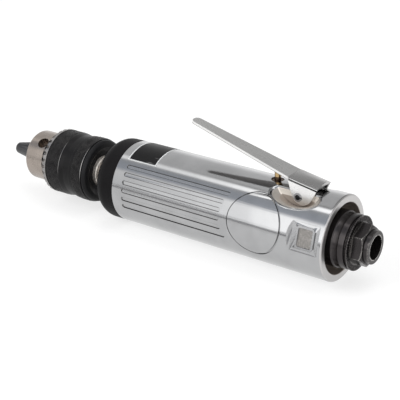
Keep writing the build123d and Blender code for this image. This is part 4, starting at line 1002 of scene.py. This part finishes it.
class GeometryTree:
    """A geometry node tree with named inputs, which ends in one plain shape with its finish."""

    name: str
    inputs: dict[str, str]

    def __init__(self) -> None:
        """Wire the tree."""
        sockets = {"Geometry": GEOMETRY, **self.inputs, "Finish": MATERIAL}
        graph, given, out = start_group(self.name, "GeometryNodeTree", sockets, {"Geometry": GEOMETRY})
        solid = graph.add("GeometryNodeRealizeInstances", {0: self.wire(graph, given)})
        dressed = graph.add("GeometryNodeSetMaterial", {"Geometry": solid.outputs[0], "Material": given["Finish"]})
        graph.feed(out.inputs[0], dressed.outputs[0])
        self.tree = graph.tree

    def wire(self, graph: Graph, given: dict[str, Socket]) -> Socket:
        """Wire the shape itself; each kind of tree has its own."""
        raise NotImplementedError

    def grow(self, name: str, values: dict[str, object]) -> bpy.types.Object:
        """Run the tree with its values and keep the result as a plain mesh.

        Args:
            name: the piece's name.
            values: a value for each named input.

        Returns:
            The piece.
        """
        source = put(name + "_source", bpy.data.meshes.new(name + "_source"))
        modifier = source.modifiers.new("grow", "NODES")
        modifier.node_group = self.tree
        for item in self.tree.interface.items_tree:
            if item.item_type == "SOCKET" and item.in_out == "INPUT" and item.name in values:
                modifier[item.identifier] = values[item.name]
        return plain_piece(name, source)


class KnurlTree(GeometryTree):
    """Rows of small pyramids round a cylinder, each row half a step on: a diamond knurl."""

    name = "Diamond knurl"
    inputs = {"Start": FLOAT, "Row Pitch": FLOAT, "Rows": INTEGER, "Around": INTEGER, "Radius": FLOAT,
              "Height": FLOAT}

    def wire(self, graph: Graph, given: dict[str, Socket]) -> Socket:
        """Wire the pyramids.

        Args:
            graph: the tree.
            given: the inputs' sockets by name.

        Returns:
            The instances' socket.
        """
        around, radius, pitch = given["Around"], given["Radius"], given["Row Pitch"]
        count = graph.math("MULTIPLY", given["Rows"], around)
        points = graph.add("GeometryNodePoints", {"Count": count}).outputs[0]
        index = graph.add("GeometryNodeInputIndex").outputs[0]
        row = graph.math("FLOOR", graph.math("DIVIDE", graph.math("ADD", index, 0.5), around))
        column = graph.math("SUBTRACT", index, graph.math("MULTIPLY", row, around))
        half = graph.math("MULTIPLY", graph.math("MODULO", row, 2.0), 0.5)
        step = graph.math("DIVIDE", 2.0 * math.pi, around)
        angle = graph.math("MULTIPLY", graph.math("ADD", column, half), step)
        cosine, sine = graph.math("COSINE", angle), graph.math("SINE", angle)
        spot = graph.vector(graph.plus(given["Start"], row, pitch), graph.math("MULTIPLY", cosine, radius),
                            graph.math("MULTIPLY", sine, radius))
        placed = graph.add("GeometryNodeSetPosition", {"Geometry": points, "Position": spot}).outputs[0]
        turn = graph.add("FunctionNodeAlignRotationToVector", {"Vector": graph.vector(y=cosine, z=sine)},
                         axis="Z", pivot_axis="X").outputs[0]
        cone = graph.add("GeometryNodeMeshCone", {
            "Vertices": 4, "Radius Top": 0.0, "Radius Bottom": 1.0, "Depth": 1.0})
        size = graph.vector(pitch, graph.math("MULTIPLY", step, radius, 0.5), given["Height"])
        return graph.add("GeometryNodeInstanceOnPoints", {
            "Points": placed, "Instance": cone.outputs[0], "Rotation": turn, "Scale": size}).outputs[0]


class ThreadTree(GeometryTree):
    """A ridge that winds along X, for the thread in a bore."""

    name = "Thread ridge"
    inputs = {"Start": FLOAT, "Length": FLOAT, "Turns": FLOAT, "Radius": FLOAT, "Ridge": FLOAT}
    turn_points = 64
    ridge_corners = 4

    def wire(self, graph: Graph, given: dict[str, Socket]) -> Socket:
        """Wire the ridge.

        Args:
            graph: the tree.
            given: the inputs' sockets by name.

        Returns:
            The ridge's socket.
        """
        helix = graph.add("GeometryNodeCurveSpiral", {
            "Resolution": self.turn_points, "Rotations": given["Turns"], "Start Radius": given["Radius"],
            "End Radius": given["Radius"], "Height": given["Length"]})
        laid = graph.add("GeometryNodeTransform", {
            "Geometry": helix.outputs[0], "Translation": graph.vector(given["Start"]),
            "Rotation": (0.0, math.radians(-90.0), 0.0)})
        section = graph.add("GeometryNodeCurvePrimitiveCircle", {
            "Resolution": self.ridge_corners, "Radius": given["Ridge"]})
        return graph.add("GeometryNodeCurveToMesh", {
            "Curve": laid.outputs[0], "Profile Curve": section.outputs[0], "Fill Caps": True}).outputs[0]


@dataclass
class KeyedChuck:
    """The knurled bands of the chuck's sleeve."""

    front_band: float = -177.4 * MM
    front_rows: int = 15
    rear_band: float = -160.7 * MM
    rear_rows: int = 10
    row_pitch: float = 0.5 * MM
    around: int = 100
    sleeve_radius: float = 16.2 * MM
    knurl_height: float = 0.36 * MM
    knurl_rise: float = 0.1 * MM

    def build(self, wardrobe: Wardrobe) -> None:
        """Make the two bands.

        Args:
            wardrobe: the materials.
        """
        tree = KnurlTree()
        for name, start, rows in (("knurl_front", self.front_band, self.front_rows),
                                  ("knurl_rear", self.rear_band, self.rear_rows)):
            piece = tree.grow(name, {
                "Start": start, "Row Pitch": self.row_pitch, "Rows": rows, "Around": self.around,
                "Radius": self.sleeve_radius + self.knurl_rise - self.knurl_height / 2,
                "Height": self.knurl_height, "Finish": wardrobe.materials["chuck_black"]})
            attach(piece, "chuck_sleeve")
            log.info("%s has %d faces", name, len(piece.data.polygons))


@dataclass
class RearEnd:
    """The air inlet: the thread inside the hex bushing."""

    thread_start: float = -13.2 * MM
    thread_length: float = 12.4 * MM
    thread_turns: float = 9.0
    bore_radius: float = 5.5 * MM
    ridge: float = 0.55 * MM

    def build(self, wardrobe: Wardrobe) -> None:
        """Make the thread ridge.

        Args:
            wardrobe: the materials.
        """
        piece = ThreadTree().grow("inlet_thread", {
            "Start": self.thread_start, "Length": self.thread_length, "Turns": self.thread_turns,
            "Radius": self.bore_radius, "Ridge": self.ridge, "Finish": wardrobe.materials["black_oxide"]})
        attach(piece, "housing")
        log.info("inlet_thread has %d faces", len(piece.data.polygons))


@dataclass
class ThrottleValve:
    """The return spring under the throttle valve, which shortens as the valve opens."""

    joint: str = "valve_slide"
    travel: float = 3.9 * MM

    def build(self, wardrobe: Wardrobe) -> None:
        """Put a copy of the spring in its place, with a mesh of its own.

        Args:
            wardrobe: the materials.
        """
        spring = RefinedNode("valve_spring", "housing", "spring_steel", "spring_steel").build(wardrobe)
        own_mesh(spring)


@dataclass(frozen=True)
class Lamp:
    """One soft lamp of the studio."""

    name: str
    place: Point
    size: float
    power: float


DARK_CARD = (0.3, 0.3, 0.31)
FAR_CARDS = ((-10.0, DARK_CARD), (0.0, DARK_CARD), (2.0, (1.05, 1.06, 1.07)),
             (40.0, (1.1, 1.1, 1.1)), (50.0, (0.55, 0.58, 0.64)), (66.0, (0.5, 0.53, 0.58)),
             (77.0, (0.55, 0.56, 0.58)), (80.0, (1.5, 1.5, 1.5)), (87.0, (1.5, 1.5, 1.5)),
             (93.0, (0.8, 0.8, 0.8)), (150.0, (0.84, 0.84, 0.84)), (176.0, (1.3, 1.3, 1.3)))
NEAR_CARDS = ((-10.0, DARK_CARD), (0.0, DARK_CARD), (2.0, (2.1, 2.1, 2.1)),
              (40.0, (2.1, 2.1, 2.1)), (50.0, (0.6, 0.63, 0.69)), (66.0, (0.56, 0.59, 0.64)),
              (77.0, (0.6, 0.61, 0.63)), (80.0, (2.3, 2.3, 2.3)), (88.0, (2.3, 2.3, 2.3)),
              (93.0, (0.34, 0.34, 0.34)), (150.0, (0.34, 0.34, 0.34)), (176.0, (0.9, 0.9, 0.9)))


@dataclass
class Studio:
    """The floor, the tent that polished faces mirror, the lamps and the camera."""

    white: Colour = (1.0, 1.0, 1.0)
    fill: float = 0.45
    floor_z: float = -20.05 * MM
    floor_half: float = 3.0
    paper: Colour = (0.34, 0.34, 0.34)
    paper_glow: float = 0.72
    tent_radius: float = 2.2
    tent_half: float = 5.0
    tent_degrees: range = range(-8, 189, 2)
    arch_start: float = -10.0
    arch_span: float = 200.0
    back_from: tuple[float, float] = (92.0, 100.0)
    front_change: tuple[float, float] = (-1.65, -1.15)
    back_change: tuple[float, float] = (-1.06, -0.94)
    bar_half: float = 2.0
    bar_y: float = -0.2
    bar_height: float = 0.014
    lamps: tuple[Lamp, ...] = (Lamp("key", (-0.7, -1.0, 0.9), 0.9, 9.0), Lamp("top", (0.1, 0.2, 1.5), 1.2, 9.0),
                               Lamp("side", (1.2, -0.6, 0.6), 0.8, 4.0))
    lamp_aim: Point = (-0.1, 0.0, 0.0)
    camera_place: Point = (184.43 * MM, -385.90 * MM, 202.61 * MM)
    camera_azimuth: float = math.radians(35.729)
    camera_elevation: float = math.radians(23.181)
    lens: float = 97.65
    sensor: float = 36.0

    def build(self) -> None:
        """Set up the whole studio."""
        self.set_world()
        self.lay_floor()
        self.pitch_tent()
        self.stand_bar()
        self.hang_lamps()
        self.set_camera()
        bpy.context.scene.view_settings.view_transform = "Standard"

    @staticmethod
    def seen(graph: Graph) -> Socket:
        """Find the rays that see the background: from the camera, off metal and through glass."""
        path = graph.add("ShaderNodeLightPath").outputs
        return graph.math("MAXIMUM", *(path[f"Is {kind} Ray"] for kind in ("Glossy", "Transmission", "Camera")))

    @staticmethod
    def stand(name: str, points: list[Point], faces: list[tuple[int, ...]],
              material: bpy.types.Material) -> bpy.types.Object:
        """Make one sheet of the set.

        Args:
            name: the sheet's name.
            points: its corners.
            faces: the corners' numbers for each face.
            material: its material.

        Returns:
            The sheet.
        """
        mesh = bpy.data.meshes.new(name)
        mesh.from_pydata(points, [], faces)
        mesh.materials.append(material)
        sheet = put(name, mesh)
        return sheet

    def set_world(self) -> None:
        """Make the world white where it is seen, and a soft fill elsewhere."""
        world = bpy.data.worlds.new("studio")
        bpy.context.scene.world = world
        world.use_nodes = True
        graph = Graph(world.node_tree)
        level = graph.spread(self.seen(graph), self.fill, 1.0)
        back = graph.add("ShaderNodeBackground", {"Color": self.white, "Strength": level})
        graph.add("ShaderNodeOutputWorld", {"Surface": back.outputs[0]})

    def lay_floor(self) -> None:
        """Lay the pale floor, which keeps a soft shadow."""
        graph = Surface("floor_paper")
        paper = graph.add("ShaderNodeBsdfDiffuse", {"Color": self.paper}).outputs[0]
        glow = graph.glow(self.white, graph.math("MULTIPLY", self.seen(graph), self.paper_glow))
        both = graph.add("ShaderNodeAddShader", {0: paper, 1: glow}).outputs[0]
        half, z = self.floor_half, self.floor_z
        corners = [(-half, -half, z), (half, -half, z), (half, half, z), (-half, half, z)]
        self.stand("floor", corners, [(0, 1, 2, 3)], graph.show(both))

    def pitch_tent(self) -> None:
        """Put up the tent of cards that only polished faces see."""
        turns = [math.radians(degree) for degree in self.tent_degrees]
        points = [(x, -self.tent_radius * math.cos(turn), self.tent_radius * math.sin(turn))
                  for turn in turns for x in (-self.tent_half, self.tent_half)]
        faces = [(first, first + 1, first + 3, first + 2) for first in range(0, len(points) - 2, 2)]
        graph = Surface("tent_cards")
        x, y, z = graph.xyz
        turn = graph.math("ARCTAN2", z, graph.math("MULTIPLY", y, -1.0))
        share = graph.math("DIVIDE", graph.math("SUBTRACT", turn, math.radians(self.arch_start)),
                           math.radians(self.arch_span))
        far, near = (self.card_ramp(graph, share, stops) for stops in (FAR_CARDS, NEAR_CARDS))
        front, back = (graph.blend(graph.step(x, *change), far, near)
                       for change in (self.front_change, self.back_change))
        behind = graph.step(turn, *(math.radians(degree) for degree in self.back_from))
        tent = self.stand("tent", points, faces, graph.show(graph.glow(graph.blend(behind, front, back))))
        configure(tent, visible_camera=False, visible_diffuse=False, visible_shadow=False)

    def card_ramp(self, graph: Graph, share: Socket, stops: tuple[tuple[float, Colour], ...]) -> Socket:
        """Spread the colours of the cards over the tent's arch.

        Args:
            graph: the tent's tree.
            share: the place on the arch, from 0 at its start to 1 at its end.
            stops: angles in degrees with their colours.

        Returns:
            The colour's socket.
        """
        cards = graph.add("ShaderNodeValToRGB", {0: share})
        ramp = cards.color_ramp
        while len(ramp.elements) < len(stops):
            ramp.elements.new(1.0)
        for element, (degree, colour) in zip(ramp.elements, stops):
            element.position = (degree - self.arch_start) / self.arch_span
            element.color = (*colour, 1.0)
        return cards.outputs[0]

    def stand_bar(self) -> None:
        """Stand the low dark bar that draws the horizon on polished faces."""
        graph = Surface("horizon_dark")
        half, y, low, high = self.bar_half, self.bar_y, self.floor_z, self.floor_z + self.bar_height
        corners = [(-half, y, low), (half, y, low), (half, y, high), (-half, y, high)]
        bar = self.stand("horizon_bar", corners, [(0, 1, 2, 3)], graph.show(graph.glow(DARK_CARD)))
        configure(bar, visible_camera=False, visible_diffuse=False, visible_shadow=False)

    def hang_lamps(self) -> None:
        """Hang the soft lamps."""
        for lamp in self.lamps:
            light = bpy.data.lights.new(lamp.name, "AREA")
            configure(light, size=lamp.size, energy=lamp.power)
            aim = Vector(self.lamp_aim) - Vector(lamp.place)
            configure(put(lamp.name, light), location=lamp.place, visible_glossy=False,
                      rotation_euler=aim.to_track_quat("-Z", "Y").to_euler())

    def set_camera(self) -> None:
        """Stand the camera at the photograph's viewing angle."""
        data = bpy.data.cameras.new("camera")
        configure(data, lens=self.lens, sensor_width=self.sensor, sensor_fit="HORIZONTAL")
        camera = put("camera", data)
        camera.location = self.camera_place
        camera.rotation_euler = Euler((math.radians(90.0) - self.camera_elevation, 0.0, self.camera_azimuth))
        bpy.context.scene.camera = camera


def main() -> None:
    """Dress the drill, add its fine detail and set up the studio."""
    logging.basicConfig(level=logging.INFO, format="%(message)s")
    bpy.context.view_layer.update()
    wardrobe = Wardrobe()
    wardrobe.dress_nodes()
    for refined in (RefinedNode("housing", "housing", "polished_aluminium", "polished_aluminium",
                                skin_radius=20.0 * MM, edge_angle=math.radians(16.0)),
                    RefinedNode("lever", "lever", "plated_steel", "plated_steel", edge_width=0.1 * MM),
                    RefinedNode("clamp_nut", "housing", "black_oxide", "black_coat", edge_width=0.1 * MM),
                    RefinedNode("inlet_bushing", "housing", "black_oxide", "black_oxide", edge_width=0.12 * MM),
                    RefinedNode("exhaust_deflector", "housing", "black_coat", "deflector_oxide")):
        refined.build(wardrobe)
    KeyedChuck().build(wardrobe)
    RearEnd().build(wardrobe)
    ThrottleValve().build(wardrobe)
    Studio().build()


if __name__ == "__main__":
    main()
